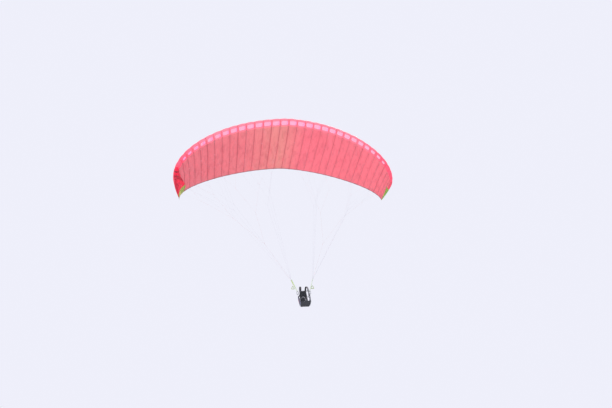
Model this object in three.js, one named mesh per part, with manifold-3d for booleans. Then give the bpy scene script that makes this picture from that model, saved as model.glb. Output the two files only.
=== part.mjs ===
// Paraglider: a ram-air canopy of hollow cells, its line trees, risers, brakes and a light harness.
// Millimetres. +X is the span, -Y is the direction of flight and +Z is up.
// The origin is on the canopy's lower surface at its centre, straight above the carabiners.
import * as THREE from "three";
import { mergeVertices } from "three/addons/utils/BufferGeometryUtils.js";
import Module from "manifold-3d";

const wasm = await Module();
wasm.setup();

// Driving dimensions of the wing
const HALF_ARC = 5550; // half of the span along the arc
const ARCH = { angle: 1.044, power: 2.05 }; // the arc's lean at the tip, in radians, and how late it bends
const CURL = { angle: 0.8, power: 9 }; // what the last cells lean in further
const ROOT_CHORD = 3044;
const TIP_CHORD_SHARE = 0.465;
const TAPER_POWER = 3.2;
const TIP_SWEEP = 0.535; // how far back the tip's nose lies, in root chords
const SWEEP_POWER = 1.54;
const HANG_SHARE = 0.33; // the carabiners hang under this share of the root chord
const NOSE_UP = 0.038; // incidence, in radians
const THICKNESS = 0.182;
const TIP_THIN = 0.35; // the tip's thickness as a share of the centre's
const THIN_POWER = 10;
const CAMBER = 0.03;
const CAMBER_AT = 0.25;
const BALLOON = 0.075; // how far a cell swells between its ribs, in cell widths
const WALL = 3; // fabric skins and ribs
const SPLIT_GAP = 0.3; // between two sections of the canopy

// Cells
const OPEN_HALF_ARC = 4785; // the cells with an inlet end here
const OPEN_CELLS = 14; // on each side
const CELL_SHRINK = 0.052; // how much narrower the outer open cells are
const CLOSED_CELL_WIDTHS = [245, 205, 175, 140]; // from the last inlet to the tip
const CELLS_PER_SECTION = 4;
const PROFILE_STEPS = 7; // on each face of a rib's outline
const PROFILE_POWER = 1.4; // crowds the outline's points at the nose
const HOLLOW_END = { latest: 0.97, step: 0.005, tall: 12 }; // a hollow stops where it gets this low
const INLET = { from: 0.045, to: 0.145, side: 0.1, depth: 36 };
const PORT = { at: 0.3, share: 0.2, sides: 6, reach: 9 };

// Rigging
const HANG_DROP = 7300; // from the origin down to the harness's hinge line
const CARABINER = { x: 215, height: 105, width: 60, corner: 12, rod: 5.5, sides: 6 };
const LINE_GAP = 0.3; // between a line's end and what it is tied to
const LINE_SIDES = 3;
const LINE_COLLAR = 7; // the short steps at a line's ends
const LINE_RADIUS = { main: 1.1, middle: 0.8, top: 0.6 };
const RISER = { length: 500, width: 22, thick: 2.4, fan: 1.3, loopWidth: 25, loopWall: 3 };
const LINK = { half: 15, narrow: 0.8, rod: 2, sides: 5, steps: 8 };
const ROUND_SIDES = 12; // loops and pulleys
const ROWS = [
  // name of the row, and where it is sewn on, in chords from the nose
  { name: "a", at: 0.09 },
  { name: "b", at: 0.36 },
  { name: "c", at: 0.66 },
];
const BRAKE_AT = 0.985;
const BRAKE_TRUNK = 2300; // the single line below the brake's fan
const MAIN_GROUPS = [
  // ribs held by each main line, two pairs a line
  [[1, 3], [5, 7]],
  [[9, 11], [13, 15]],
];
const BRAKE_GROUPS = [
  [[2, 4], [6, 8]],
  [[10, 12], [13, 15]],
];
const TIP_RIB = 17; // carried by the second row's outer main line
const KNOT = 3.2; // a fork's knot in line radii
const SIDE_BY_SIDE = 2.4; // between the lines that leave a knot, in line radii
const TOP_LENGTH = 1150;
const MIDDLE_LENGTH = 1900;
const PULLEY = { down: 90, back: 24, radius: 13, thick: 9, strap: 3 };
const TOGGLE = { drop: 100, width: 124, height: 118, band: 14, depth: 20 };
const TOGGLE_HEAD = 1.5; // in band widths, like the hole's insets
const TOGGLE_HOLE = { half: 0.85, top: 1.6, side: 1.5, foot: 1.2 };

// Harness, measured from its hinge line
const SEAT = { half: 165, front: -292, back: 52, z: -432, thick: 34, rise: 0.09 };
const BACK = { half: 158, topHalf: 126, foot: -438, head: [181, 196], thick: 27 };
const HIP = { thick: 4, lean: 0.105 };
const WEB = { width: 26, thick: 3, loopWall: 3.2, neck: 0.8, neckThick: 0.7, overlap: 8 };
const SHOULDER = { width: 52, thick: 9 };
const LEG = { width: 38, thick: 4 };
const CHEST = { width: 24, thick: 2.4, clear: 0.6 };
const TOUCH = 0.3; // between pieces that lie on each other
const STRAP_STEPS = 2; // between two points of a strap's path
const BUCKLE = { leg: [44, 30, 12], chest: [30, 9, 34] };

const MERGE = 1e-4; // corners this close are one
const UNLIKE_ANY_LINE = new THREE.Vector3(0.3, 1, 0.2);

// Materials
function finish(hex, roughness, metalness = 0) {
  return { color: hex, roughness, metalness, side: THREE.DoubleSide };
}
const FINISHES = {
  canopy: finish(0xf07c90, 0.6),
  tip: finish(0xc81e3c, 0.6),
  line: finish(0xd9d4dc, 0.6),
  brakeLine: finish(0xe04a3a, 0.6),
  riser: finish(0xc6dc5a, 0.8),
  steel: finish(0xb9bcc0, 0.3, 1),
  alloy: finish(0x3f4650, 0.35, 0.9),
  pulley: finish(0x2b2d30, 0.5),
  toggle: finish(0xb7d33c, 0.8),
  pad: finish(0x26282c, 0.9),
  hip: finish(0x46566e, 0.85),
  web: finish(0x1d1e21, 0.85),
  buckle: finish(0x6d7278, 0.4, 0.8),
};

const paraglider = new THREE.Group();

function addPiece(name, solid, finishName) {
  const geometry = solid.isBufferGeometry ? solid : geometryOf(solid);
  const mesh = new THREE.Mesh(geometry, new THREE.MeshStandardMaterial(FINISHES[finishName]));
  mesh.name = name;
  paraglider.add(mesh);
}

// Solids
function meshSolid(positions, triangles) {
  let solid = rawSolid(positions, triangles);
  if (solid.volume() < 0) {
    solid = rawSolid(positions, triangles.map(([a, b, c]) => [a, c, b]));
  }
  return solid;
}

function rawSolid(positions, triangles) {
  return new wasm.Manifold(
    new wasm.Mesh({
      numProp: 3,
      vertProperties: Float32Array.from(positions.flatMap((p) => [p.x, p.y, p.z])),
      triVerts: Uint32Array.from(triangles.flat()),
    }),
  );
}

function solidOf(geometry) {
  const bare = geometry.clone();
  bare.deleteAttribute("normal");
  bare.deleteAttribute("uv");
  const merged = mergeVertices(bare, MERGE);
  return new wasm.Manifold(
    new wasm.Mesh({
      numProp: 3,
      vertProperties: merged.attributes.position.array,
      triVerts: new Uint32Array(merged.index.array),
    }),
  );
}

function geometryOf(solid) {
  const mesh = solid.getMesh();
  const geometry = new THREE.BufferGeometry();
  geometry.setAttribute("position", new THREE.BufferAttribute(mesh.vertProperties, 3));
  geometry.setIndex(new THREE.BufferAttribute(mesh.triVerts, 1));
  geometry.computeVertexNormals();
  return geometry;
}

function joined(solids) {
  return solids.reduce((whole, solid) => whole.add(solid));
}

// A solid through rings of the same number of points; flat is the first ring's outline in its own plane.
function loft(rings, flat, flatEnd = flat) {
  const count = rings[0].length;
  const triangles = [];
  for (let ring = 0; ring + 1 < rings.length; ring += 1) {
    for (let k = 0; k < count; k += 1) {
      const a = ring * count + k;
      const b = ring * count + ((k + 1) % count);
      triangles.push([a, b, b + count], [a, b + count, a + count]);
    }
  }
  const last = (rings.length - 1) * count;
  const turned = THREE.ShapeUtils.area(flat) < 0;
  for (const [a, b, c] of THREE.ShapeUtils.triangulateShape(flat, [])) {
    triangles.push(turned ? [a, b, c] : [c, b, a]);
  }
  for (const [a, b, c] of THREE.ShapeUtils.triangulateShape(flatEnd, [])) {
    triangles.push(turned ? [last + c, last + b, last + a] : [last + a, last + b, last + c]);
  }
  return meshSolid(rings.flat(), triangles);
}

// A round rod from one point to another
function rod(from, to, radius, sides) {
  const along = new THREE.Vector3().subVectors(to, from);
  const length = along.length();
  const geometry = new THREE.CylinderGeometry(radius, radius, length, sides);
  const turn = new THREE.Quaternion().setFromUnitVectors(new THREE.Vector3(0, 1, 0), along.normalize());
  geometry.applyQuaternion(turn);
  const middle = new THREE.Vector3().addVectors(from, to).multiplyScalar(0.5);
  geometry.translate(middle.x, middle.y, middle.z);
  return solidOf(geometry);
}

// A thin line: short steps at its ends keep its long faces' diagonals out of the knots
function line(from, to, radius) {
  const along = new THREE.Vector3().subVectors(to, from);
  const length = along.length();
  along.normalize();
  const side = new THREE.Vector3().crossVectors(along, UNLIKE_ANY_LINE).normalize();
  const out = new THREE.Vector3().crossVectors(along, side);
  const flat = [];
  for (let k = 0; k < LINE_SIDES; k += 1) {
    const turn = (k / LINE_SIDES) * 2 * Math.PI;
    flat.push(new THREE.Vector2(radius * Math.cos(turn), radius * Math.sin(turn)));
  }
  const rings = [0, LINE_COLLAR, length - LINE_COLLAR, length].map((reach) =>
    flat.map((point) =>
      from.clone().addScaledVector(along, reach).addScaledVector(side, point.x).addScaledVector(out, point.y),
    ),
  );
  return loft(rings, flat);
}

// A flat band that follows points, its width along one direction; side -1 mirrors it to the right
function band(points, width, thick, widthDirection, side = 1) {
  const across = widthDirection.clone().normalize();
  const mirror = new THREE.Vector3(side, 1, 1);
  const rings = points.map((point, k) => {
    const before = points[Math.max(k - 1, 0)];
    const after = points[Math.min(k + 1, points.length - 1)];
    const along = new THREE.Vector3().subVectors(after, before).normalize();
    const out = new THREE.Vector3().crossVectors(along, across).normalize();
    const edge = new THREE.Vector3().crossVectors(out, along).normalize();
    return [[-1, -1], [1, -1], [1, 1], [-1, 1]].map(([i, j]) =>
      point
        .clone()
        .addScaledVector(edge, (i * width) / 2)
        .addScaledVector(out, (j * thick) / 2)
        .multiply(mirror),
    );
  });
  const flat = [[-1, -1], [1, -1], [1, 1], [-1, 1]].map(([i, j]) => new THREE.Vector2(i, j));
  return loft(rings, flat);
}

// A ring of round rod through points that close on themselves
function rodRing(points, radius, sides, normal) {
  const positions = [];
  const triangles = [];
  points.forEach((point, k) => {
    const before = points[(k + points.length - 1) % points.length];
    const after = points[(k + 1) % points.length];
    const along = new THREE.Vector3().subVectors(after, before).normalize();
    const out = new THREE.Vector3().crossVectors(along, normal).normalize();
    for (let j = 0; j < sides; j += 1) {
      const turn = (j / sides) * 2 * Math.PI;
      positions.push(
        point
          .clone()
          .addScaledVector(out, radius * Math.cos(turn))
          .addScaledVector(normal, radius * Math.sin(turn)),
      );
      const a = k * sides + j;
      const b = k * sides + ((j + 1) % sides);
      const c = ((k + 1) % points.length) * sides + j;
      const d = ((k + 1) % points.length) * sides + ((j + 1) % sides);
      triangles.push([a, b, d], [a, d, c]);
    }
  });
  return meshSolid(positions, triangles);
}

function leanAt(share) {
  return ARCH.angle * share ** ARCH.power + CURL.angle * share ** CURL.power;
}

// The wing's arc, summed in short steps from the centre to the tip
const ARC_STEP = 10;
const arc = [{ x: 0, z: 0 }];
for (let s = ARC_STEP; s <= HALF_ARC; s += ARC_STEP) {
  const lean = leanAt((s - ARC_STEP / 2) / HALF_ARC);
  const last = arc[arc.length - 1];
  arc.push({ x: last.x + ARC_STEP * Math.cos(lean), z: last.z - ARC_STEP * Math.sin(lean) });
}

// What the wing is like at a place along its arc
function station(s) {
  const away = Math.abs(s);
  const share = away / HALF_ARC;
  const step = Math.min(Math.floor(away / ARC_STEP), arc.length - 2);
  const part = away / ARC_STEP - step;
  const x = arc[step].x + (arc[step + 1].x - arc[step].x) * part;
  const z = arc[step].z + (arc[step + 1].z - arc[step].z) * part;
  return {
    x: Math.sign(s) * x,
    z,
    lean: Math.sign(s) * leanAt(share),
    chord: ROOT_CHORD * (1 - (1 - TIP_CHORD_SHARE) * share ** TAPER_POWER),
    nose: ROOT_CHORD * (TIP_SWEEP * share ** SWEEP_POWER - HANG_SHARE),
    thickness: THICKNESS * (1 - (1 - TIP_THIN) * share ** THIN_POWER),
  };
}

// The rib's outline: a runs from -1 at the upper trailing edge, through 0 at the nose, to 1 below
function profile(a, thickness) {
  const u = (1 - Math.cos(Math.PI * a)) / 2;
  const half =
    5 * thickness *
    (0.2969 * Math.sqrt(u) - 0.126 * u - 0.3516 * u ** 2 + 0.2843 * u ** 3 - 0.1015 * u ** 4);
  const line =
    u < CAMBER_AT
      ? (CAMBER / CAMBER_AT ** 2) * (2 * CAMBER_AT * u - u * u)
      : (CAMBER / (1 - CAMBER_AT) ** 2) * (1 - 2 * CAMBER_AT + 2 * CAMBER_AT * u - u * u);
  return new THREE.Vector2(u, line - Math.sign(a) * half);
}

function profileNormal(a, thickness) {
  const small = 0.004;
  const before = profile(Math.max(a - small, -1), thickness);
  const after = profile(Math.min(a + small, 1), thickness);
  return new THREE.Vector2(-(after.y - before.y), after.x - before.x).normalize().multiplyScalar(-1);
}

// The point on the outline moved out by some millimetres, in millimetres in the rib's plane
function outlinePoint(at, a, out) {
  const point = profile(a, at.thickness).multiplyScalar(at.chord);
  return point.addScaledVector(profileNormal(a, at.thickness), out);
}

// From a rib's own plane into the wing
const CENTRE_RISE = -outlineHeight();
function outlineHeight() {
  const at = station(0);
  const a = Math.acos(1 - 2 * HANG_SHARE) / Math.PI;
  const under = outlinePoint(at, a, 0);
  return under.y * Math.cos(NOSE_UP) - under.x * Math.sin(NOSE_UP);
}
function intoWing(at, point) {
  const back = point.x * Math.cos(NOSE_UP) + point.y * Math.sin(NOSE_UP);
  const up = point.y * Math.cos(NOSE_UP) - point.x * Math.sin(NOSE_UP);
  return new THREE.Vector3(
    at.x + up * Math.sin(at.lean),
    at.nose + back,
    CENTRE_RISE + at.z + up * Math.cos(at.lean),
  );
}

// Ribs, from the centre to the tip
const ribs = [0];
for (let cell = 1; cell <= OPEN_CELLS; cell += 1) {
  const share = cell / OPEN_CELLS;
  ribs.push(OPEN_HALF_ARC * (share * (1 + CELL_SHRINK) - CELL_SHRINK * share ** 3));
}
for (const width of CLOSED_CELL_WIDTHS) {
  ribs.push(ribs[ribs.length - 1] + width);
}
const LAST_RIB = ribs.length - 1;
const ribPlace = (rib) => Math.sign(rib) * ribs[Math.abs(rib)];

const outlineSteps = [];
for (let step = -PROFILE_STEPS; step <= PROFILE_STEPS; step += 1) {
  outlineSteps.push(Math.sign(step) * (Math.abs(step) / PROFILE_STEPS) ** PROFILE_POWER);
}

// How much the fabric swells at a share of a cell's width, less at the nose and none at the trailing edge
function swelling(a, width, share) {
  const u = (1 - Math.cos(Math.PI * a)) / 2;
  const nose = Math.min(1, 0.6 + 4 * u);
  const tail = u > 0.6 ? 1 - ((u - 0.6) / 0.4) ** 2 : 1;
  return BALLOON * width * 4 * share * (1 - share) * nose * tail;
}

// Where a cell's hollow ends, short of the trailing edge
function hollowEnd(at) {
  const earliest = outlineSteps[outlineSteps.length - 2] + 2 * HOLLOW_END.step;
  let a = HOLLOW_END.latest;
  while (a > earliest) {
    const tall = profile(-a, at.thickness).y - profile(a, at.thickness).y;
    if (tall * at.chord > HOLLOW_END.tall) {
      break;
    }
    a -= HOLLOW_END.step;
  }
  return a;
}

function ringOf(s, steps, out) {
  const at = station(s);
  return steps.map((a) => intoWing(at, outlinePoint(at, a, out(a))));
}

function flatOf(s, steps, out) {
  const at = station(s);
  return steps.map((a) => outlinePoint(at, a, out(a)));
}

function sectionShell(firstRib, lastRib) {
  const places = [];
  for (let rib = firstRib; rib < lastRib; rib += 1) {
    const from = ribPlace(rib);
    const width = ribPlace(rib + 1) - from;
    const inset = rib === firstRib ? SPLIT_GAP / 2 : 0;
    places.push({ s: from + inset, width, share: 0 });
    places.push({ s: from + width / 2, width, share: 0.5 });
  }
  places.push({ s: ribPlace(lastRib) - SPLIT_GAP / 2, width: 0, share: 0 });
  const rings = places.map(({ s, width, share }) =>
    ringOf(s, outlineSteps, (a) => swelling(a, width, share)),
  );
  const ends = [places[0], places[places.length - 1]].map(({ s }) => flatOf(s, outlineSteps, () => 0));
  return loft(rings, ends[0], ends[1]);
}

function cellHollow(rib, firstRib, lastRib) {
  const from = ribPlace(rib);
  const to = ribPlace(rib + 1);
  const width = to - from;
  const start = from + (rib === firstRib ? WALL + SPLIT_GAP / 2 : WALL / 2);
  const end = to - (rib + 1 === lastRib ? WALL + SPLIT_GAP / 2 : WALL / 2);
  const rings = [];
  const flats = [];
  for (const s of [start, (from + to) / 2, end]) {
    const share = (s - from) / width;
    const last = hollowEnd(station(s));
    const steps = outlineSteps.map((a) => (Math.abs(a) === 1 ? a * last : a));
    const out = (a) => swelling(a, width, share) - WALL;
    rings.push(ringOf(s, steps, out));
    flats.push(flatOf(s, steps, out));
  }
  return loft(rings, flats[0], flats[2]);
}

function inletCut(rib) {
  const from = ribPlace(rib);
  const width = ribPlace(rib + 1) - from;
  const steps = [INLET.from, (INLET.from + INLET.to) / 2, INLET.to];
  const rings = [];
  const flats = [];
  for (const share of [INLET.side, 1 - INLET.side]) {
    const at = station(from + width * share);
    const outside = steps.map((a) => outlinePoint(at, a, INLET.depth));
    const inside = steps.map((a) => outlinePoint(at, a, -INLET.depth)).reverse();
    flats.push([...outside, ...inside]);
    rings.push([...outside, ...inside].map((point) => intoWing(at, point)));
  }
  return loft(rings, flats[0], flats[1]);
}

// A hole that lets the air through a rib into the next cell
function portCut(rib) {
  const s = ribPlace(rib);
  const at = station(s);
  const a = Math.acos(1 - 2 * PORT.at) / Math.PI;
  const top = outlinePoint(at, -a, 0);
  const bottom = outlinePoint(at, a, 0);
  const centre = new THREE.Vector2().addVectors(top, bottom).multiplyScalar(0.5);
  const middle = intoWing(at, centre);
  const along = new THREE.Vector3(Math.cos(at.lean), 0, -Math.sin(at.lean));
  const from = middle.clone().addScaledVector(along, -PORT.reach);
  const to = middle.clone().addScaledVector(along, PORT.reach);
  return rod(from, to, PORT.share * (top.y - bottom.y), PORT.sides);
}

function canopySection(firstRib, lastRib) {
  let solid = sectionShell(firstRib, lastRib);
  for (let rib = firstRib; rib < lastRib; rib += 1) {
    solid = solid.subtract(cellHollow(rib, firstRib, lastRib));
    const outer = Math.max(Math.abs(rib), Math.abs(rib + 1));
    if (outer <= OPEN_CELLS) {
      solid = solid.subtract(inletCut(rib));
    }
  }
  for (let rib = firstRib; rib <= lastRib; rib += 1) {
    if (Math.abs(rib) >= OPEN_CELLS && Math.abs(rib) < LAST_RIB) {
      solid = solid.subtract(portCut(rib));
    }
  }
  return solid;
}

const sectionEdges = [];
for (let rib = -LAST_RIB; rib <= LAST_RIB; rib += CELLS_PER_SECTION) {
  sectionEdges.push(rib);
}
const SECTIONS = sectionEdges.length - 1;
for (let k = 0; k < SECTIONS; k += 1) {
  const place = k - (SECTIONS - 1) / 2;
  const side = place < 0 ? "right" : "left";
  const isTip = Math.abs(place) === (SECTIONS - 1) / 2;
  const name = place === 0 ? "cells_centre" : isTip ? `tip_${side}` : `cells_${side}_${Math.abs(place)}`;
  addPiece(name, canopySection(sectionEdges[k], sectionEdges[k + 1]), isTip ? "tip" : "canopy");
}

// Lines: where a rib is held, just clear of its lower seam
function heldPoint(rib, share, side) {
  const s = side * ribPlace(rib);
  const at = station(s);
  const a = Math.acos(1 - 2 * share) / Math.PI;
  const next = outlineSteps.findIndex((step) => step > a);
  const from = outlinePoint(at, outlineSteps[next - 1], 0);
  const to = outlinePoint(at, outlineSteps[next], 0);
  const part = (share * at.chord - from.x) / (to.x - from.x);
  const seam = from.clone().lerp(to, part);
  const down = new THREE.Vector2(to.y - from.y, from.x - to.x).normalize();
  return intoWing(at, seam.addScaledVector(down, LINE_GAP + LINE_RADIUS.middle));
}

function meanOf(points) {
  const sum = points.reduce((total, point) => total.add(point), new THREE.Vector3());
  return sum.multiplyScalar(1 / points.length);
}

function towards(from, to, length) {
  return from.clone().addScaledVector(new THREE.Vector3().subVectors(to, from).normalize(), length);
}

// The sewn knot where lines meet
function knotAt(point, radius) {
  const geometry = new THREE.OctahedronGeometry(radius * KNOT);
  geometry.translate(point.x, point.y, point.z);
  return solidOf(geometry);
}

// Lines leave a knot side by side, so that none runs through its neighbour
function linesFrom(fork, ends, radius) {
  const across = new THREE.Vector3().subVectors(ends[ends.length - 1], ends[0]).normalize();
  return ends.map((end, k) => {
    const aside = (k - (ends.length - 1) / 2) * SIDE_BY_SIDE * radius;
    return line(fork.clone().addScaledVector(across, aside), end, radius);
  });
}

// A tree of lines from one foot to all the ribs of its groups, over one trunk line where it has a length
function lineTree(root, groups, share, side, { trunk = 0, extra = [] }) {
  const held = groups.flat(2).map((rib) => heldPoint(rib, share, side));
  const foot = trunk ? towards(root, meanOf(held), trunk) : root;
  const pieces = trunk ? [line(root, foot, LINE_RADIUS.main)] : [];
  pieces.push(knotAt(foot, LINE_RADIUS.main));
  const mainForks = groups.map((pairs, group) => {
    const tops = pairs.map((pair) => pair.map((rib) => heldPoint(rib, share, side)));
    const forks = tops.map((pair) => towards(meanOf(pair), foot, TOP_LENGTH));
    const fork = towards(meanOf(forks), foot, MIDDLE_LENGTH);
    const loose = group === groups.length - 1 ? extra.map((rib) => heldPoint(rib, share, side)) : [];
    pieces.push(knotAt(fork, LINE_RADIUS.main));
    pieces.push(...linesFrom(fork, [...forks, ...loose], LINE_RADIUS.middle));
    forks.forEach((point, k) => {
      pieces.push(knotAt(point, LINE_RADIUS.middle));
      pieces.push(...linesFrom(point, tops[k], LINE_RADIUS.top));
    });
    return fork;
  });
  pieces.push(...linesFrom(foot, mainForks, LINE_RADIUS.main));
  return joined(pieces);
}

const hangZ = -HANG_DROP;
const carabinerTop = hangZ + CARABINER.height;

function riggingOf(side, label) {
  const foot = new THREE.Vector3(side * CARABINER.x, 0, carabinerTop);
  const straps = [];
  let rearStrap = null;
  for (const [row, { name, at }] of ROWS.entries()) {
    const held = MAIN_GROUPS.flat(2).map((rib) => heldPoint(rib, at, side));
    const top = towards(foot, meanOf(held), RISER.length);
    const along = new THREE.Vector3().subVectors(top, foot).normalize();
    const start = foot.clone().addScaledVector(along, CARABINER.rod + RISER.loopWall / 2);
    start.y += (row - (ROWS.length - 1) / 2) * RISER.thick * RISER.fan;
    straps.push(band([start, top], RISER.width, RISER.thick, new THREE.Vector3(1, 0, 0)));
    const link = top.clone().addScaledVector(along, LINK.rod + TOUCH + LINK.half);
    const across = new THREE.Vector3().crossVectors(new THREE.Vector3(0, 1, 0), along).normalize();
    const loop = [];
    for (let k = 0; k < LINK.steps; k += 1) {
      const turn = (k / LINK.steps) * 2 * Math.PI;
      loop.push(
        link
          .clone()
          .addScaledVector(along, LINK.half * Math.cos(turn))
          .addScaledVector(across, LINK.half * LINK.narrow * Math.sin(turn)),
      );
    }
    const normal = new THREE.Vector3().crossVectors(along, across).normalize();
    addPiece(`link_${name}_${label}`, rodRing(loop, LINK.rod, LINK.sides, normal), "steel");
    const knotHalf = KNOT * LINE_RADIUS.main;
    const end = top.clone().addScaledVector(along, 2 * (LINK.half + LINK.rod + TOUCH) + knotHalf);
    const extra = name === "b" ? [TIP_RIB] : [];
    addPiece(`lines_${name}_${label}`, lineTree(end, MAIN_GROUPS, at, side, { extra }), "line");
    rearStrap = { start, top };
  }
  const loopOuter = CARABINER.rod + TOUCH + RISER.loopWall;
  const sleeve = rod(
    foot.clone().add(new THREE.Vector3(-RISER.loopWidth / 2, 0, 0)),
    foot.clone().add(new THREE.Vector3(RISER.loopWidth / 2, 0, 0)),
    loopOuter,
    ROUND_SIDES,
  );
  const bore = rod(
    foot.clone().add(new THREE.Vector3(-RISER.loopWidth, 0, 0)),
    foot.clone().add(new THREE.Vector3(RISER.loopWidth, 0, 0)),
    CARABINER.rod + TOUCH,
    ROUND_SIDES,
  );
  addPiece(`risers_${label}`, joined([sleeve, ...straps]).subtract(bore), "riser");

  const strapPlace = towards(rearStrap.top, rearStrap.start, PULLEY.down);
  const pulley = strapPlace.clone().add(new THREE.Vector3(0, PULLEY.back, 0));
  const disc = rod(
    pulley.clone().add(new THREE.Vector3(-PULLEY.thick / 2, 0, 0)),
    pulley.clone().add(new THREE.Vector3(PULLEY.thick / 2, 0, 0)),
    PULLEY.radius,
    ROUND_SIDES,
  );
  const seat = strapPlace.clone().add(new THREE.Vector3(0, RISER.thick / 2 + 2 * TOUCH, 0));
  const strap = band([seat, pulley], PULLEY.thick, PULLEY.strap, new THREE.Vector3(1, 0, 0));
  addPiece(`pulley_${label}`, joined([disc, strap]), "pulley");
  const above = pulley.clone().add(new THREE.Vector3(0, 0, PULLEY.radius + LINE_GAP));
  const fan = lineTree(above, BRAKE_GROUPS, BRAKE_AT, side, { trunk: BRAKE_TRUNK });
  addPiece(`brake_lines_${label}`, fan, "brakeLine");
  const below = pulley.clone().add(new THREE.Vector3(0, 0, -PULLEY.radius - LINE_GAP));
  const knot = below.clone().add(new THREE.Vector3(0, 0, -TOGGLE.drop));
  addPiece(`brake_cord_${label}`, line(below, knot, LINE_RADIUS.main), "brakeLine");
  addPiece(`toggle_${label}`, toggleHandle(knot), "toggle");
}

// A soft triangular grip, open in the middle for the hand
function toggleHandle(top) {
  const half = TOGGLE.width / 2;
  const shape = new THREE.Shape();
  const head = TOGGLE.band * TOGGLE_HEAD;
  shape.moveTo(-head, 0);
  shape.lineTo(head, 0);
  shape.lineTo(half, -TOGGLE.height + TOGGLE.band);
  shape.lineTo(half - TOGGLE.band / 2, -TOGGLE.height);
  shape.lineTo(-half + TOGGLE.band / 2, -TOGGLE.height);
  shape.lineTo(-half, -TOGGLE.height + TOGGLE.band);
  const hole = new THREE.Path();
  const holeHalf = half - TOGGLE.band * TOGGLE_HOLE.side;
  const holeFoot = -TOGGLE.height + TOGGLE.band * TOGGLE_HOLE.foot;
  const holeHead = TOGGLE.band * TOGGLE_HOLE.half;
  hole.moveTo(holeHead, -TOGGLE.band * TOGGLE_HOLE.top);
  hole.lineTo(-holeHead, -TOGGLE.band * TOGGLE_HOLE.top);
  hole.lineTo(-holeHalf, holeFoot);
  hole.lineTo(holeHalf, holeFoot);
  shape.holes.push(hole);
  const geometry = new THREE.ExtrudeGeometry(shape, { depth: TOGGLE.depth, bevelEnabled: false });
  geometry.rotateX(Math.PI / 2);
  geometry.translate(top.x, top.y + TOGGLE.depth / 2, top.z - LINE_GAP);
  return solidOf(geometry);
}

function carabinerOf(side, label) {
  const halfWidth = CARABINER.width / 2;
  const corner = CARABINER.corner;
  const outline = [];
  for (const [cx, cz, from] of [[1, 1, 0], [-1, 1, 1], [-1, -1, 2], [1, -1, 3]]) {
    for (let k = 0; k <= 2; k += 1) {
      const turn = ((from + k / 2) * Math.PI) / 2;
      outline.push(
        new THREE.Vector3(
          side * CARABINER.x + cx * (halfWidth - corner) + corner * Math.cos(turn),
          0,
          hangZ + CARABINER.height / 2 + cz * (CARABINER.height / 2 - corner) + corner * Math.sin(turn),
        ),
      );
    }
  }
  addPiece(
    `carabiner_${label}`,
    rodRing(outline, CARABINER.rod, CARABINER.sides, new THREE.Vector3(0, 1, 0)),
    "alloy",
  );
}

for (const [side, label] of [[1, "left"], [-1, "right"]]) {
  riggingOf(side, label);
  carabinerOf(side, label);
}

// Harness
function seatSolid() {
  const z = hangZ + SEAT.z;
  const outline = [
    [SEAT.front, z + SEAT.rise * (SEAT.back - SEAT.front)],
    [SEAT.front, z + SEAT.rise * (SEAT.back - SEAT.front) + SEAT.thick],
    [SEAT.back, z + SEAT.thick],
    [SEAT.back, z],
  ];
  return crossPlate(outline, SEAT.half, SEAT.half);
}

// A solid whose outline in Y and Z runs from -X to +X, wider at its foot than at its head
function crossPlate(outline, footHalf, headHalf) {
  const positions = [];
  const low = Math.min(...outline.map(([, z]) => z));
  const high = Math.max(...outline.map(([, z]) => z));
  for (const side of [-1, 1]) {
    for (const [y, z] of outline) {
      const half = footHalf + ((headHalf - footHalf) * (z - low)) / (high - low);
      positions.push(new THREE.Vector3(side * half, y, z));
    }
  }
  const count = outline.length;
  const rings = [positions.slice(0, count), positions.slice(count)];
  const flat = outline.map(([y, z]) => new THREE.Vector2(y, z));
  return loft(rings, flat);
}

function backSolid() {
  const [headY, headZ] = BACK.head;
  const frontY = SEAT.back + TOUCH;
  const outline = [
    [frontY, hangZ + BACK.foot],
    [frontY + BACK.thick, hangZ + BACK.foot],
    [headY, hangZ + headZ],
    [headY - BACK.thick, hangZ + headZ],
  ];
  return crossPlate(outline, BACK.half, BACK.topHalf);
}

// Where the hip plates' plane lies at a height: it leans out towards the carabiners
function hipX(z) {
  return SEAT.half + TOUCH + HIP.lean * (z - (hangZ + SEAT.z));
}

// A plate in the hip's leaning plane, moved out from it by some millimetres
function hipPlate(points, out, thick, side) {
  const rings = [out, out + thick].map((x) =>
    points.map(([y, z]) => new THREE.Vector3(side * (hipX(hangZ + z) + x), y, hangZ + z)),
  );
  const flat = points.map(([y, z]) => new THREE.Vector2(y, z));
  return loft(rings, flat);
}

const HIP_OUTLINE = [[-236, -405], [40, -431], [96, -330], [138, -96], [26, -60], [-44, -64]];
// The main webbing's outline: down from the carabiner, then forked to the seat's front and rear
const WEB_TOP = -44;
const WEB_OUTLINE = [[-13, WEB_TOP], [-214, -376], [-192, -392], [-4, -98], [34, -408], [60, -402],
  [13, WEB_TOP]];

function mainWeb(side) {
  const x = side * CARABINER.x;
  const radius = CARABINER.rod + TOUCH + WEB.loopWall;
  const at = (dx) => new THREE.Vector3(x + dx, 0, hangZ);
  const sleeve = rod(at(-WEB.width / 2), at(WEB.width / 2), radius, ROUND_SIDES);
  const bore = rod(at(-WEB.width), at(WEB.width), CARABINER.rod + TOUCH, ROUND_SIDES);
  const out = HIP.thick + TOUCH;
  const topX = hipX(hangZ + WEB_TOP) + out + WEB.thick / 2;
  const plateTop = new THREE.Vector3(side * topX, 0, hangZ + WEB_TOP);
  const below = plateTop.clone().add(new THREE.Vector3(-side * HIP.lean * WEB.overlap, 0, -WEB.overlap));
  const start = at(0).add(new THREE.Vector3(0, 0, -radius + WEB.loopWall / 2));
  const backwards = new THREE.Vector3(0, 1, 0);
  const neck = band([start, plateTop, below], WEB.width * WEB.neck, WEB.thick * WEB.neckThick, backwards);
  return joined([sleeve, neck, hipPlate(WEB_OUTLINE, out, WEB.thick, side)]).subtract(bore);
}

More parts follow.
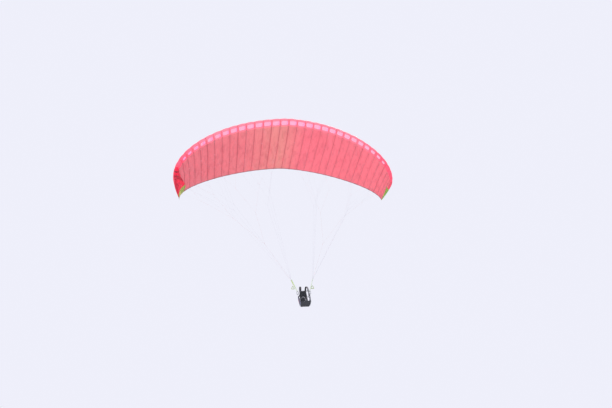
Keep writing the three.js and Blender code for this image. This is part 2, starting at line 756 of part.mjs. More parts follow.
// A strap over the points of a path, given on the left side and measured from the hinge line
function harnessBand(path, side, { width, thick }, widthDirection) {
  const curve = new THREE.CatmullRomCurve3(
    path.map(([x, y, z]) => new THREE.Vector3(x, y, hangZ + z)),
    false,
    "centripetal",
  );
  return band(curve.getPoints((path.length - 1) * STRAP_STEPS), width, thick, widthDirection, side);
}

// Paths on the left side, from the hinge line: x, y and z of each point
const SHOULDER_PATH = [[98, 166, 198.8], [100, 132, 262], [104, 50, 292], [112, -52, 262], [124, -130, 160],
  [138, -158, 40], [154, -118, -52], [174.8, -24, -92]];
const LEG_PATH = [[18, -272, -367.6], [26, -268, -300], [52, -256, -232], [92, -240, -216], [132, -222, -232],
  [158, -196, -254], [176.2, -172, -290], [175.6, -172, -314]];

function strapBlock([wide, deep, tall], x, y, z) {
  const geometry = new THREE.BoxGeometry(wide, deep, tall);
  geometry.translate(x, y, hangZ + z);
  return solidOf(geometry);
}

addPiece("harness_seat", seatSolid(), "pad");
addPiece("harness_back", backSolid(), "pad");
for (const [side, label] of [[1, "left"], [-1, "right"]]) {
  const spanwise = new THREE.Vector3(1, 0, 0);
  addPiece(`shoulder_strap_${label}`, harnessBand(SHOULDER_PATH, side, SHOULDER, spanwise), "pad");
  addPiece(`leg_strap_${label}`, harnessBand(LEG_PATH, side, LEG, new THREE.Vector3(0, 1, 0)), "web");
  const [legX, legY, legZ] = LEG_PATH[3];
  const legBuckleZ = legZ + LEG.thick / 2 + TOUCH + BUCKLE.leg[2] / 2;
  addPiece(`leg_buckle_${label}`, strapBlock(BUCKLE.leg, side * legX, legY, legBuckleZ), "buckle");
  addPiece(`hip_${label}`, hipPlate(HIP_OUTLINE, 0, HIP.thick, side), "hip");
  addPiece(`main_web_${label}`, mainWeb(side), "web");
}

// The chest strap crosses in front of the shoulder straps
const [shoulderX, shoulderY, chestZ] = SHOULDER_PATH[5];
const chestY = shoulderY - SHOULDER.thick / 2 - CHEST.thick / 2 - CHEST.clear;
const chestEnds = [-shoulderX, shoulderX].map((x) => new THREE.Vector3(x, chestY, hangZ + chestZ));
addPiece("chest_strap", band(chestEnds, CHEST.width, CHEST.thick, new THREE.Vector3(0, 0, 1)), "web");
const chestBuckleY = chestY - CHEST.thick / 2 - TOUCH - BUCKLE.chest[1] / 2;
addPiece("chest_buckle", strapBlock(BUCKLE.chest, 0, chestBuckleY, chestZ), "buckle");

export default paraglider;
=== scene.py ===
import math

import bmesh
import bpy
import numpy as np
from mathutils import Matrix, Vector
from mathutils.bvhtree import BVHTree
from mathutils.geometry import tessellate_polygon


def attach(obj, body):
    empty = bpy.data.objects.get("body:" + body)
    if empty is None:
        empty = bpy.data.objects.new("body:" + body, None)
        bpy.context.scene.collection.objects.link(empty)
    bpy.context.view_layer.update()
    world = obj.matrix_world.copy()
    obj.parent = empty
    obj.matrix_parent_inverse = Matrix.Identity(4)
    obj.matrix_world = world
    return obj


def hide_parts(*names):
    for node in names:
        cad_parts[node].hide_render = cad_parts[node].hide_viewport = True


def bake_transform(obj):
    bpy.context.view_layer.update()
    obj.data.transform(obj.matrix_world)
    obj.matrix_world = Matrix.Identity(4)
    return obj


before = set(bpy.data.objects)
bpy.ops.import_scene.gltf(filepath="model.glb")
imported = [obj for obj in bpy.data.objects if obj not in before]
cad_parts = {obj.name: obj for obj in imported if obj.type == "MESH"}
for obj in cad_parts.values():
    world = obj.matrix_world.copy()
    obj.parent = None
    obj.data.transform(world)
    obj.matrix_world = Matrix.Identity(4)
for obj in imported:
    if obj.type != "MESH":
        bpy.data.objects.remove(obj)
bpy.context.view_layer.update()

# Paraglider, in metres: +X along the span, -Y the way it flies, +Z up.

scene = bpy.context.scene
X, Y, Z = np.eye(3)
CORNERS = ((1, 1), (-1, 1), (-1, -1), (1, -1))
SIDES = ((1, "left"), (-1, "right"))

# Camera, light and floor

CAMERA_PLACE = (-2.979, -14.976, -14.320)
CAMERA_YAW, CAMERA_PITCH, CAMERA_ROLL = 0.2276, 0.6164, -0.1301
LENS, SENSOR, SIGHT = 28, 36, 400
FLOOR_Z, FLOOR_REACH = -14.42, 260
FLOOR_SHADES = [(0.3, (0.70, 0.71, 0.74)), (0.7, (0.74, 0.75, 0.77))]
SKY = (0.86, 0.865, 0.96, 1)
LIT_PLACE = (0, 0.5, -2)
LIGHTS = (  # name, place, size, power, colour
    ("top_light", (7, 9, 14), 9, 4100, (1.0, 0.98, 0.95)),
    ("front_fill", (-9, -16, -7), 8, 1300, (0.97, 0.98, 1.0)))


def stand(data, place, turn):
    """Puts a camera or a light at its place, turned by a matrix"""
    thing = bpy.data.objects.new(data.name, data)
    thing.matrix_world = Matrix.Translation(place) @ turn.to_4x4()
    scene.collection.objects.link(thing)
    return thing


def make_camera():
    level_share = math.cos(CAMERA_PITCH)
    ahead = Vector((math.sin(CAMERA_YAW) * level_share,
                    math.cos(CAMERA_YAW) * level_share,
                    math.sin(CAMERA_PITCH)))
    level = ahead.cross(Vector(Z)).normalized()
    over = level.cross(ahead)
    right = math.cos(CAMERA_ROLL) * level + math.sin(CAMERA_ROLL) * over
    up = math.cos(CAMERA_ROLL) * over - math.sin(CAMERA_ROLL) * level
    data = bpy.data.cameras.new("camera")
    data.lens, data.sensor_width, data.clip_end = LENS, SENSOR, SIGHT
    scene.camera = stand(data, CAMERA_PLACE, Matrix((right, up, -ahead)).transposed())


def make_stage():
    mesh = bpy.data.meshes.new("floor")
    mesh.from_pydata([(x * FLOOR_REACH, y * FLOOR_REACH, FLOOR_Z) for x, y in CORNERS], [], [(0, 1, 2, 3)])
    floor = bpy.data.objects.new("floor", mesh)
    scene.collection.objects.link(floor)
    paint = Paint("floor_paper")
    shade = paint.ramp(paint.noise(paint.object_place(), 0.4, 3), FLOOR_SHADES)
    mesh.materials.append(paint.surface(shade, 0.9))
    scene.world = bpy.data.worlds.new("studio")
    scene.world.use_nodes = True
    sky = scene.world.node_tree.nodes["Background"]
    sky.inputs["Color"].default_value = SKY
    sky.inputs["Strength"].default_value = 1.0
    scene.view_settings.view_transform = "Standard"
    for name, place, size, power, colour in LIGHTS:
        data = bpy.data.lights.new(name, "AREA")
        data.shape, data.size, data.energy, data.color = "DISK", size, power, colour
        stand(data, place, (Vector(LIT_PLACE) - Vector(place)).to_track_quat("-Z", "Y").to_matrix())


# Materials

class Paint:
    """A material and the few node steps its pattern is built from"""

    def __init__(self, name):
        self.material = bpy.data.materials.new(name)
        self.material.use_nodes = True
        self.tree = self.material.node_tree
        self.shader = self.tree.nodes["Principled BSDF"]

    def feed(self, node, inputs):
        """Links or sets a node's sockets, colours without their alpha, and passes over None"""
        for key, value in inputs.items():
            socket = node.inputs[key]
            if isinstance(value, bpy.types.NodeSocket):
                self.tree.links.new(value, socket)
            elif value is not None:
                socket.default_value = (*value, 1) if socket.type == "RGBA" else value

    def node(self, kind, inputs=None, **settings):
        node = self.tree.nodes.new("ShaderNode" + kind)
        for key, value in settings.items():
            setattr(node, key, value)
        self.feed(node, inputs or {})
        return node

    def object_place(self, scale=(1, 1, 1), turn=(0, 0, 0)):
        place = self.node("TexCoord").outputs["Object"]
        return self.node("Mapping", {"Vector": place, "Scale": scale, "Rotation": turn}).outputs["Vector"]

    def cloth_place(self, scale=(1, 1, 1)):
        place = self.node("UVMap", uv_map="cloth").outputs["UV"]
        return self.node("Mapping", {"Vector": place, "Scale": scale}).outputs["Vector"]

    def value(self, name):
        return self.node("Attribute", attribute_name=name).outputs["Fac"]

    def parts(self, vector):
        return self.node("SeparateXYZ", {0: vector}).outputs

    def math(self, step, first, second=0.0, third=None):
        return self.node("Math", {0: first, 1: second, 2: third}, operation=step).outputs[0]

    def times(self, first, second):
        return self.math("MULTIPLY", first, second)

    def noise(self, place, scale, detail=2.0, roughness=0.5, distortion=0.0):
        return self.node("TexNoise", {"Vector": place, "Scale": scale, "Detail": detail,
                                      "Roughness": roughness, "Distortion": distortion}).outputs["Fac"]

    def wave(self, place, scale, along):
        return self.node("TexWave", {"Vector": place, "Scale": scale}, bands_direction=along).outputs["Fac"]

    def ramp(self, value, stops):
        node = self.node("ValToRGB", {"Fac": value})
        elements = node.color_ramp.elements
        while len(elements) < len(stops):
            elements.new(0.5)
        for element, (place, colour) in zip(elements, stops):
            element.position = place
            element.color = (*colour, 1)
        return node.outputs["Color"]

    def range(self, value, low, high, start=0.0, end=1.0):
        return self.node("MapRange", {"Value": value, "From Min": low, "From Max": high, "To Min": start,
                                      "To Max": end}, interpolation_type="SMOOTHSTEP").outputs["Result"]

    def mix(self, share, first, second):
        return self.node("Mix", {"Factor": share, 6: first, 7: second}, data_type="RGBA").outputs[2]

    def layers(self, colour, *coats):
        """Coats laid over a colour one by one, each as its share and its own colour"""
        for share, coat in coats:
            colour = self.mix(share, colour, coat)
        return colour

    def bump(self, height, distance, strength, under=None):
        return self.node("Bump", {"Height": height, "Distance": distance, "Strength": strength,
                                  "Normal": under}).outputs["Normal"]

    def surface(self, colour, roughness, normal=None, metallic=0.0, sheen=0.0, sheen_tint=(1, 1, 1),
                specular=0.5):
        self.feed(self.shader, {"Base Color": colour, "Roughness": roughness, "Metallic": metallic,
                                "Normal": normal, "Sheen Weight": sheen, "Sheen Tint": sheen_tint,
                                "Specular IOR Level": specular})
        return self.material

    def let_light_through(self, colour, share, normal):
        glow = self.node("BsdfTranslucent", {"Color": colour, "Normal": normal})
        both = self.node("MixShader", {"Fac": share, 1: self.shader.outputs["BSDF"], 2: glow.outputs["BSDF"]})
        self.feed(self.tree.nodes["Material Output"], {"Surface": both.outputs[0]})


RIPSTOP = 0.0052  # between the weave's thick threads
THREADS = 0.0011
SEAM_HALF, SEAM_SHADE_REACH = 0.009, 0.13  # a seam's half width, and how far the painted shade of a cell's swelling spreads from it
SEAM_SHADOW_DARK, SEAM_SHADOW_FAINT = 0.68, 0.62  # a seam's strength, with the painted shadow of its rib that widens it, and its share of that on the left half, where the top light makes that painted shadow fainter
STITCH_ROW, STITCH_PITCH = 0.0045, 0.005  # how far the sewing is from the seam, and a stitch from the next
BAND = 2 * math.pi / 20  # how wide a wave texture's band is at a scale of 1
TAIL_TAPE = 0.045
TRIM_BLUR = 0.003

# the lime trim's colour, and the same lime in painted shade
LIME, SHADED_LIME = (0.46, 0.78, 0.15), (0.19, 0.42, 0.065)
CORAL = (0.54, 0.225, 0.235)
HOT_PINK = (0.71, 0.225, 0.265)
DUSK_PINK = (0.54, 0.265, 0.245)
WARM_PINK = (0.475, 0.410, 0.285)
STITCH_PINK = (0.95, 0.62, 0.66)
THREAD_PINK = (1.0, 0.9, 0.9)
NOSE_PINK, NOSE_TIP = (0.80, 0.275, 0.325), (0.82, 0.140, 0.220)
NOSE_THROUGH, TIP_THROUGH = (0.95, 0.44, 0.50), (1.0, 0.20, 0.30)
# the colour of the seams and of their painted shadow at the nose
NOSE_SEAM_SHADE = (0.46, 0.07, 0.11)
# colours of the seams, of the painted shade and shadow round them, and of random blotches: the first for the
# underside, the second for the top
SEAM_AND_SHADE_RED, DEEP_RED = (0.34, 0.090, 0.105), (0.30, 0.01, 0.03)
# the hem tape's colours, which also give the painted shade of creases
HEM_AND_SHADE_RED, TOP_HEM_AND_SHADE_RED = (0.34, 0.03, 0.06), (0.40, 0.01, 0.03)
EDGE_DARK = (0.10, 0.012, 0.03)
CRIMSON, ROSE_RED = (0.78, 0.020, 0.085), (0.90, 0.085, 0.16)
# painted shadow in the folds of the right tip's panel
FOLD_SHADOW_RED = (0.26, 0.004, 0.02)
WORN_METAL = (0.8, 0.8, 0.82)


def shaded(colour, times, plus=0.0):
    return tuple(min(1, c * times + plus) for c in colour)


def ripstop(paint):
    """A ripstop weave on the cloth's map: a grid of thicker threads over fine ones"""
    across, along, _ = paint.parts(paint.cloth_place())
    waves = [paint.math("COSINE", paint.times(way, 2 * math.pi / RIPSTOP)) for way in (across, along)]
    grid = paint.math("MAXIMUM", *(paint.math("POWER", paint.math("ABSOLUTE", wave), 24.0) for wave in waves))
    return paint.math("MULTIPLY_ADD", paint.noise(paint.cloth_place(), 1 / THREADS, 1.0), 0.35, grid)


def canopy_fabric(name, colours, seam_and_shade_colour, hem_and_shade_colour, through):
    """Coated fabric of the canopy. colours runs from the right tip to the left one."""
    paint = Paint(name)
    across, _, _ = paint.parts(paint.object_place())
    place = paint.range(across, -4.8, 4.8)
    near_tip = paint.range(paint.math("ABSOLUTE", across), 3.2, 4.7)
    nose, seam, tail = paint.value("nose"), paint.value("seam"), paint.value("tail")
    blotch = paint.noise(paint.object_place((1, 0.5, 1)), 1.1, 3, 0.6)
    # Painted shade of creases in the cloth: a stretched noise that darkens the colour and the light let through
    crease = paint.noise(paint.cloth_place((1.0, 0.35, 1)), 7.0, 4, 0.62, 0.6)
    weave = ripstop(paint)

    seam_and_shade_tone = paint.mix(nose, seam_and_shade_colour, NOSE_SEAM_SHADE)
    # Painted shadow: each seam darkens a band wider than itself, standing for its rib's shadow through the
    # cloth, fainter on the left half where the top light falls. The cross seams add their own darker lines.
    dark = paint.times(paint.range(seam, SEAM_HALF * 0.5, SEAM_HALF * 2.8, SEAM_SHADOW_DARK, 0.0),
                       paint.range(place, 0.50, 0.62, 1.0, SEAM_SHADOW_FAINT))
    dark = paint.math("MAXIMUM", dark, paint.range(paint.value("cross_seam"), 0.004, 0.012, 0.22, 0.0))
    row = paint.math("ABSOLUTE", paint.math("SUBTRACT", seam, STITCH_ROW))
    dash = paint.wave(paint.cloth_place(), BAND / STITCH_PITCH, "Y")
    stitch = paint.times(paint.range(row, 0.0007, 0.0016, 0.7, 0.0), paint.range(dash, 0.35, 0.5))
    tape = paint.range(tail, TAIL_TAPE * 0.8, TAIL_TAPE, 0.85, 0.0)

    # Painted shadow along the folds of the right tip's dark red panel: dark streaks at the folds' places,
    # frayed by a noise
    folds = paint.noise(paint.cloth_place((1.0, 1.6, 1)), 5.2, 3, 0.6, 1.2)
    ragged = paint.math("MULTIPLY_ADD", paint.math("SUBTRACT", folds, 0.5), 0.16, paint.value("fold"))
    panel_red_and_fold_shade = paint.layers(CRIMSON, (paint.range(folds, 0.52, 0.66, 0.0, 0.55), FOLD_SHADOW_RED),
                             (paint.range(ragged, 0.004, 0.048, 0.88, 0.0), FOLD_SHADOW_RED))
    on_panel = paint.range(paint.value("tip_panel"), -TRIM_BLUR, TRIM_BLUR)
    on_trim = paint.range(paint.value("lime"), -TRIM_BLUR, TRIM_BLUR)
    # the lime trim is darkened by the folds' noise, as painted shade
    trims = (on_panel, panel_red_and_fold_shade), (on_trim, paint.mix(paint.range(folds, 0.40, 0.62), LIME, SHADED_LIME))

    colour = paint.layers(
        paint.ramp(place, colours),
        (paint.range(blotch, 0.35, 0.75, 0.0, 0.30), seam_and_shade_colour),
        (paint.range(crease, 0.45, 0.75, 0.0, 0.18), hem_and_shade_colour),
        (nose, paint.mix(near_tip, NOSE_PINK, NOSE_TIP)),
        # painted shade of each cell's swelling: darker towards the seams on both sides
        (paint.range(seam, SEAM_HALF * 2, SEAM_SHADE_REACH, 0.20, 0.0), seam_and_shade_tone),
        (dark, seam_and_shade_tone),
        (stitch, STITCH_PINK),
        (tape, hem_and_shade_colour),
        (paint.range(tail, 0.003, 0.007, 0.75, 0.0), EDGE_DARK),
        *trims,
        (paint.times(weave, 0.07), THREAD_PINK))
    puckers = paint.noise(paint.cloth_place((0.55, 1.0, 1)), 16.0, 2, 0.5, 0.4)
    normal = paint.bump(paint.times(puckers, paint.range(seam, 0.0, 0.11, 1.0, 0.12)), 0.012, 0.55)
    normal = paint.bump(paint.range(seam, 0.0, SEAM_HALF), 0.0012, 0.6, normal)
    normal = paint.bump(weave, 0.00012, 0.35, normal)
    paint.surface(colour, paint.range(blotch, 0.3, 0.8, 0.42, 0.58), normal, sheen=0.12,
                  sheen_tint=(1, 0.85, 0.88), specular=0.35)
    # Painted shade in the light the cloth lets through: darker in its creases, less so at the nose, and along
    # the painted shadow of the ribs
    crease_shade = paint.times(paint.range(crease, 0.42, 0.72, 0.0, 0.34), paint.range(nose, 0.0, 1.0, 1.0, 0.3))
    shine = paint.layers(through, (crease_shade, seam_and_shade_tone), (nose, paint.mix(near_tip, NOSE_THROUGH, TIP_THROUGH)),
                         (paint.math("MAXIMUM", dark, tape), seam_and_shade_tone), *trims)
    paint.let_light_through(shine, 0.5, normal)
    return paint.material


def plain_fabric(name, colour, other, grain, rough=0.7, sheen=0.2, light=None):
    """Plain weave in slow shades. light: the colour and share let through, and the colour and strength of a
    painted glow from the cloth.
    """
    paint = Paint(name)
    weave = paint.math("MAXIMUM", paint.wave(paint.object_place(), grain, "X"),
                       paint.wave(paint.object_place(turn=(0.5, 0.4, 0)), grain, "Z"))
    shade = paint.noise(paint.object_place(), 9.0, 4, 0.6)
    mixed = paint.layers(colour, (paint.range(shade, 0.3, 0.75), other),
                         (paint.times(weave, 0.18), shaded(colour, 1.6, 0.02)))
    normal = paint.bump(weave, 0.0004, 0.5, paint.bump(shade, 0.004, 0.3))
    paint.surface(mixed, rough, normal, sheen=sheen, specular=0.3)
    if light:
        through, share, glow, strength = light
        # painted light: the cloth glows as if lit from inside
        paint.feed(paint.shader, {"Emission Color": glow, "Emission Strength": strength})
        paint.let_light_through(through, share, normal)
    return paint.material


def webbing(name, colour, edge, stripe=None):
    """Woven strap on its own map: U runs across the strap from 0 to 1, V along it in metres"""
    paint = Paint(name)
    across, along, _ = paint.parts(paint.cloth_place())
    diagonal = paint.math("ADD", paint.times(across, 44.0), paint.times(along, 1900.0))
    weave = paint.times(*(paint.math("MULTIPLY_ADD", paint.math("SINE", turn), 0.5, 0.5)
                          for turn in (diagonal, paint.times(across, 75.0))))
    wear = paint.noise(paint.object_place(), 60.0, 3)
    middle = paint.math("ABSOLUTE", paint.math("SUBTRACT", across, 0.5))
    coats = [(paint.range(middle, 0.40, 0.46), edge)]
    if stripe:
        coats.append((paint.range(middle, 0.09, 0.12, 1.0, 0.0), stripe))
    mixed = paint.layers(colour, *coats, (paint.times(weave, 0.35), shaded(colour, 0.45)),
                         (paint.range(wear, 0.45, 0.8, 0.0, 0.25), shaded(colour, 1.5, 0.03)))
    return paint.surface(mixed, 0.75, paint.bump(weave, 0.0006, 0.7), sheen=0.25, specular=0.3)


def braid(name, colour, fleck):
    """Sheathed line: along is in metres, around from 0 to 1"""
    paint = Paint(name)
    along = paint.times(paint.value("along"), 2 * math.pi / 0.0032)
    around = paint.times(paint.value("around"), 6 * math.pi)
    strands = paint.times(*(paint.math("SINE", paint.math(step, along, around))
                            for step in ("ADD", "SUBTRACT")))
    plait = paint.math("MULTIPLY_ADD", strands, 0.5, 0.5)
    return paint.surface(paint.mix(plait, colour, fleck), 0.6, paint.bump(plait, 0.0003, 0.6), sheen=0.1,
                         specular=0.35)


def metal(name, colour, rough, grain=(1, 1, 12)):
    paint = Paint(name)
    brushed = paint.noise(paint.object_place(grain), 300.0, 2)
    scuffs = paint.noise(paint.object_place(), 90.0, 5, 0.7)
    mixed = paint.mix(paint.range(scuffs, 0.6, 0.78, 0.0, 0.55), colour, WORN_METAL)
    return paint.surface(mixed, paint.range(brushed, 0.3, 0.7, rough * 0.75, rough * 1.3),
                         paint.bump(brushed, 0.0001, 0.4), metallic=1.0)


def moulded(name, colour, rough):
    paint = Paint(name)
    shade = paint.noise(paint.object_place(), 25.0, 3)
    mixed = paint.mix(paint.range(shade, 0.3, 0.7), colour, shaded(colour, 1.3, 0.01))
    return paint.surface(mixed, rough, paint.bump(paint.noise(paint.object_place(), 1400.0, 2), 0.0002, 0.4))


make_camera()
make_stage()

# The underside's colours across the span are partly its own tones and partly painted light: the pink is hotter
# and lighter towards the left tip, on the side the top light comes from.
UNDERSIDE = canopy_fabric(
    "underside_fabric",
    [(0.0, CORAL), (0.25, DUSK_PINK), (0.47, WARM_PINK), (0.62, HOT_PINK), (1.0, HOT_PINK)],
    SEAM_AND_SHADE_RED, HEM_AND_SHADE_RED, (0.76, 0.37, 0.37))
TOP = canopy_fabric(
    "top_fabric",
    [(0.0, CRIMSON), (0.09, CRIMSON), (0.30, ROSE_RED), (0.72, ROSE_RED), (0.93, CRIMSON)],
    DEEP_RED, TOP_HEM_AND_SHADE_RED, (1.0, 0.24, 0.32))
# The cell lining and the ribs glow, as painted light standing for daylight through the top skin into the cells,
# seen through the inlets.
LINING = plain_fabric("cell_lining", (0.95, 0.64, 0.75), (0.98, 0.74, 0.84), 900.0,
                      light=((1.0, 0.74, 0.82), 0.5, (1.0, 0.60, 0.68), 0.78))
# The ribs are deeper magenta, with a weaker glow, than the lining: painted shade on the far side of each inlet.
RIB_CLOTH = plain_fabric("rib_cloth", (0.92, 0.60, 0.76), (0.96, 0.68, 0.82), 900.0,
                         light=((1.0, 0.62, 0.80), 0.45, (1.0, 0.40, 0.62), 0.46))
HEM_TAPE = plain_fabric("hem_tape", (0.15, 0.02, 0.04), (0.11, 0.015, 0.03), 500.0)
RIM_CORD = plain_fabric("inlet_rim", (0.90, 0.16, 0.26), (0.8, 0.12, 0.2), 900.0)
TAB_CLOTH = plain_fabric("line_tab", (0.85, 0.82, 0.84), (0.7, 0.66, 0.7), 900.0)
SEWING = plain_fabric("sewing_thread", (0.55, 0.57, 0.6), (0.4, 0.42, 0.45), 1500.0)
PAD_CLOTH = plain_fabric("pad_cloth", (0.018, 0.020, 0.024), (0.032, 0.034, 0.040), 700.0, 0.8, 0.12)
HIP_CLOTH = plain_fabric("hip_cloth", (0.048, 0.075, 0.135), (0.085, 0.070, 0.150), 700.0, 0.75, 0.15)
RED_TRIM = plain_fabric("red_trim", (0.45, 0.012, 0.05), (0.6, 0.03, 0.09), 700.0, 0.75)
LINE_SHEATH = braid("line_sheath", (0.62, 0.60, 0.66), (0.42, 0.40, 0.46))
BRAKE_SHEATH = braid("brake_sheath", (0.70, 0.20, 0.14), (0.5, 0.46, 0.44))
RISER_LIME = webbing("riser_lime", (0.50, 0.60, 0.16), (0.62, 0.72, 0.40))
RISER_WHITE = webbing("riser_white", (0.74, 0.80, 0.72), (0.45, 0.58, 0.35), (0.55, 0.68, 0.34))
TOGGLE_CLOTH = webbing("toggle_cloth", (0.42, 0.55, 0.09), (0.30, 0.42, 0.06), (0.30, 0.40, 0.07))
BLACK_WEB = webbing("black_web", (0.020, 0.021, 0.025), (0.05, 0.05, 0.058))
GREY_WEB = webbing("grey_web", (0.30, 0.30, 0.32), (0.42, 0.42, 0.45))
STEEL = metal("brushed_steel", (0.62, 0.63, 0.65), 0.3)
ALLOY = metal("dark_alloy", (0.055, 0.065, 0.085), 0.32, (12, 1, 1))
BUCKLE_METAL = metal("buckle_alloy", (0.30, 0.32, 0.34), 0.36)
BLACK_PLASTIC = moulded("black_plastic", (0.022, 0.023, 0.026), 0.45)
RED_PLASTIC = moulded("red_plastic", (0.42, 0.015, 0.03), 0.4)
PULLEY_WHEEL = moulded("pulley_wheel", (0.55, 0.56, 0.58), 0.3)

# The wing's own shape

HALF_ARC, ARC_STEP = 5.550, 0.010
ARCH_ANGLE, ARCH_POWER = 1.044, 2.05
CURL_ANGLE, CURL_POWER = 0.8, 9
ROOT_CHORD, NOSE_UP = 3.044, 0.038
TIP_CHORD_SHARE, TAPER_POWER = 0.465, 3.2
TIP_SWEEP, SWEEP_POWER, HANG_SHARE = 0.535, 1.54, 0.33
THICKNESS, TIP_THIN, THIN_POWER = 0.182, 0.35, 10
CAMBER, CAMBER_AT = 0.03, 0.25
SLOPE_STEP = 0.004  # along the outline, for its slope
BALLOON, FULL_UNTIL = 0.075, 0.6  # how far a cell swells, in its widths, and where that starts to fade
PUCKER_DEEP, PUCKER_REACH, PUCKER_PITCH = 0.0055, 0.055, 0.27
OPEN_HALF_ARC, OPEN_CELLS, CELL_SHRINK = 4.785, 14, 0.052
CLOSED_CELLS = (0.245, 0.205, 0.175, 0.140)
CELLS_PER_SECTION = 4


def lean_at(share):
    return ARCH_ANGLE * share ** ARCH_POWER + CURL_ANGLE * share ** CURL_POWER


leans = lean_at((np.arange(round(HALF_ARC / ARC_STEP)) + 0.5) * ARC_STEP / HALF_ARC)
ARC_S = np.arange(len(leans) + 1) * ARC_STEP
ARC_X = np.concatenate([[0], np.cumsum(ARC_STEP * np.cos(leans))])
ARC_Z = np.concatenate([[0], -np.cumsum(ARC_STEP * np.sin(leans))])


def station(s):
    """Place, lean, chord, nose and thickness of the wing at places along its arc"""
    away = np.abs(s)
    share = away / HALF_ARC
    return {
        "x": np.sign(s) * np.interp(away, ARC_S, ARC_X),
        "z": np.interp(away, ARC_S, ARC_Z),
        "lean": np.sign(s) * lean_at(share),
        "chord": ROOT_CHORD * (1 - (1 - TIP_CHORD_SHARE) * share ** TAPER_POWER),
        "nose": ROOT_CHORD * (TIP_SWEEP * share ** SWEEP_POWER - HANG_SHARE),
        "thickness": THICKNESS * (1 - (1 - TIP_THIN) * share ** THIN_POWER),
    }


def chord_share(a):
    return (1 - np.cos(math.pi * a)) / 2


def under_at(share):
    """Where a share of the chord lies on the outline's lower side"""
    return math.acos(1 - 2 * share) / math.pi


def profile(a, thickness):
    """The rib's outline from a = -1 at the upper trailing edge, over 0 at the nose, to 1 below"""
    u = chord_share(a)
    half = 5 * thickness * (0.2969 * np.sqrt(u) - 0.126 * u
                            - 0.3516 * u ** 2 + 0.2843 * u ** 3 - 0.1015 * u ** 4)
    front = CAMBER / CAMBER_AT ** 2 * (2 * CAMBER_AT * u - u * u)
    rear = CAMBER / (1 - CAMBER_AT) ** 2 * (1 - 2 * CAMBER_AT + 2 * CAMBER_AT * u - u * u)
    return u, np.where(u < CAMBER_AT, front, rear) - np.sign(a) * half


def in_rib_plane(at, a, out):
    """The outline's points, moved out from it, as distances back and up in the rib's own plane"""
    u0, y0 = profile(np.maximum(a - SLOPE_STEP, -1), at["thickness"])
    u1, y1 = profile(np.minimum(a + SLOPE_STEP, 1), at["thickness"])
    length = np.sqrt((y1 - y0) ** 2 + (u1 - u0) ** 2)
    u, y = profile(a, at["thickness"])
    x, y = u * at["chord"] + (y1 - y0) / length * out, y * at["chord"] - (u1 - u0) / length * out
    return x * math.cos(NOSE_UP) + y * math.sin(NOSE_UP), y * math.cos(NOSE_UP) - x * math.sin(NOSE_UP)


CENTRE_RISE = -float(in_rib_plane(station(0.0), under_at(HANG_SHARE), 0.0)[1])


def into_wing(at, back, up):
    return np.stack(np.broadcast_arrays(at["x"] + up * np.sin(at["lean"]), at["nose"] + back,
                                        CENTRE_RISE + at["z"] + up * np.cos(at["lean"])), -1)


def on_wing(s, a, out=0.0):
    at = station(s)
    return into_wing(at, *in_rib_plane(at, a, out))


RIBS = [OPEN_HALF_ARC * (cell / OPEN_CELLS * (1 + CELL_SHRINK) - CELL_SHRINK * (cell / OPEN_CELLS) ** 3)
        for cell in range(OPEN_CELLS + 1)]
for cell_width in CLOSED_CELLS:
    RIBS.append(RIBS[-1] + cell_width)
LAST_RIB = len(RIBS) - 1


def rib_place(rib):
    return math.copysign(RIBS[abs(rib)], rib)


def cell_span(rib):
    """Where the cell to the left of a rib starts, and its width"""
    return rib_place(rib), rib_place(rib + 1) - rib_place(rib)


def arched(share):
    """From 0 at both of a cell's ribs to 1 midway between them"""
    return 4 * share * (1 - share)


def swelling(a, width, share):
    """How far the fabric stands out between two ribs"""
    u = chord_share(a)
    tail = np.where(u > FULL_UNTIL, 1 - ((u - FULL_UNTIL) / (1 - FULL_UNTIL)) ** 2, 1)
    return BALLOON * width * arched(share) * np.minimum(1, 0.6 + 4 * u) * tail


def puckers(along, share, width, first_rib):
    """Shallow folds that run out from each rib's seam and fade towards the middle of the cell"""
    total = 0.0
    for rib, away in ((first_rib, share * width), (first_rib + 1, (1 - share) * width)):
        fade = np.exp(-away / PUCKER_REACH) * away / (away + 0.02)
        phase = 2.4 * rib + 0.7 * math.sin(5.1 * rib)
        total = total + fade * np.sin(2 * math.pi * along / PUCKER_PITCH + phase)
    return PUCKER_DEEP * total


# Making and keeping pieces

def add_object(mesh):
    thing = bpy.data.objects.new("part", mesh)
    scene.collection.objects.link(thing)
    return thing


def set_values(mesh, values):
    for key, numbers in values.items():
        numbers = np.broadcast_to(numbers, len(mesh.vertices)).astype(np.float32)
        mesh.attributes.new(key, "FLOAT", "POINT").data.foreach_set("value", numbers)


def mesh_piece(points, faces, materials, smooth=True, uv=None, values=None, kinds=None):
    mesh = bpy.data.meshes.new("part")
    mesh.from_pydata([tuple(p) for p in points], [], [tuple(int(i) for i in f) for f in faces])
    for material in materials:
        mesh.materials.append(material)
    if kinds:
        mesh.polygons.foreach_set("material_index", np.asarray(kinds, np.int32))
    if uv is not None:
        layer = mesh.uv_layers.new(name="cloth")
        corner = np.empty(len(mesh.loops), np.int32)
        mesh.loops.foreach_get("vertex_index", corner)
        layer.data.foreach_set("uv", np.asarray(uv, np.float32)[corner].ravel())
    set_values(mesh, values or {})
    if smooth:
        mesh.shade_smooth()
    mesh.update()
    return add_object(mesh)


def joined(things):
    """One object from several that share no data"""
    work = bmesh.new()
    materials = []
    for thing in things:
        start = len(work.faces)
        work.from_mesh(thing.data)
        work.faces.ensure_lookup_table()
        materials += [material for material in thing.data.materials if material not in materials]
        places = [materials.index(material) for material in thing.data.materials]
        for face in work.faces[start:]:
            face.material_index = places[face.material_index]
    mesh = bpy.data.meshes.new("part")
    work.to_mesh(mesh)
    work.free()
    for material in materials:
        mesh.materials.append(material)
    for thing in things:
        old = thing.data
        bpy.data.objects.remove(thing)
        bpy.data.meshes.remove(old)
    return add_object(mesh)


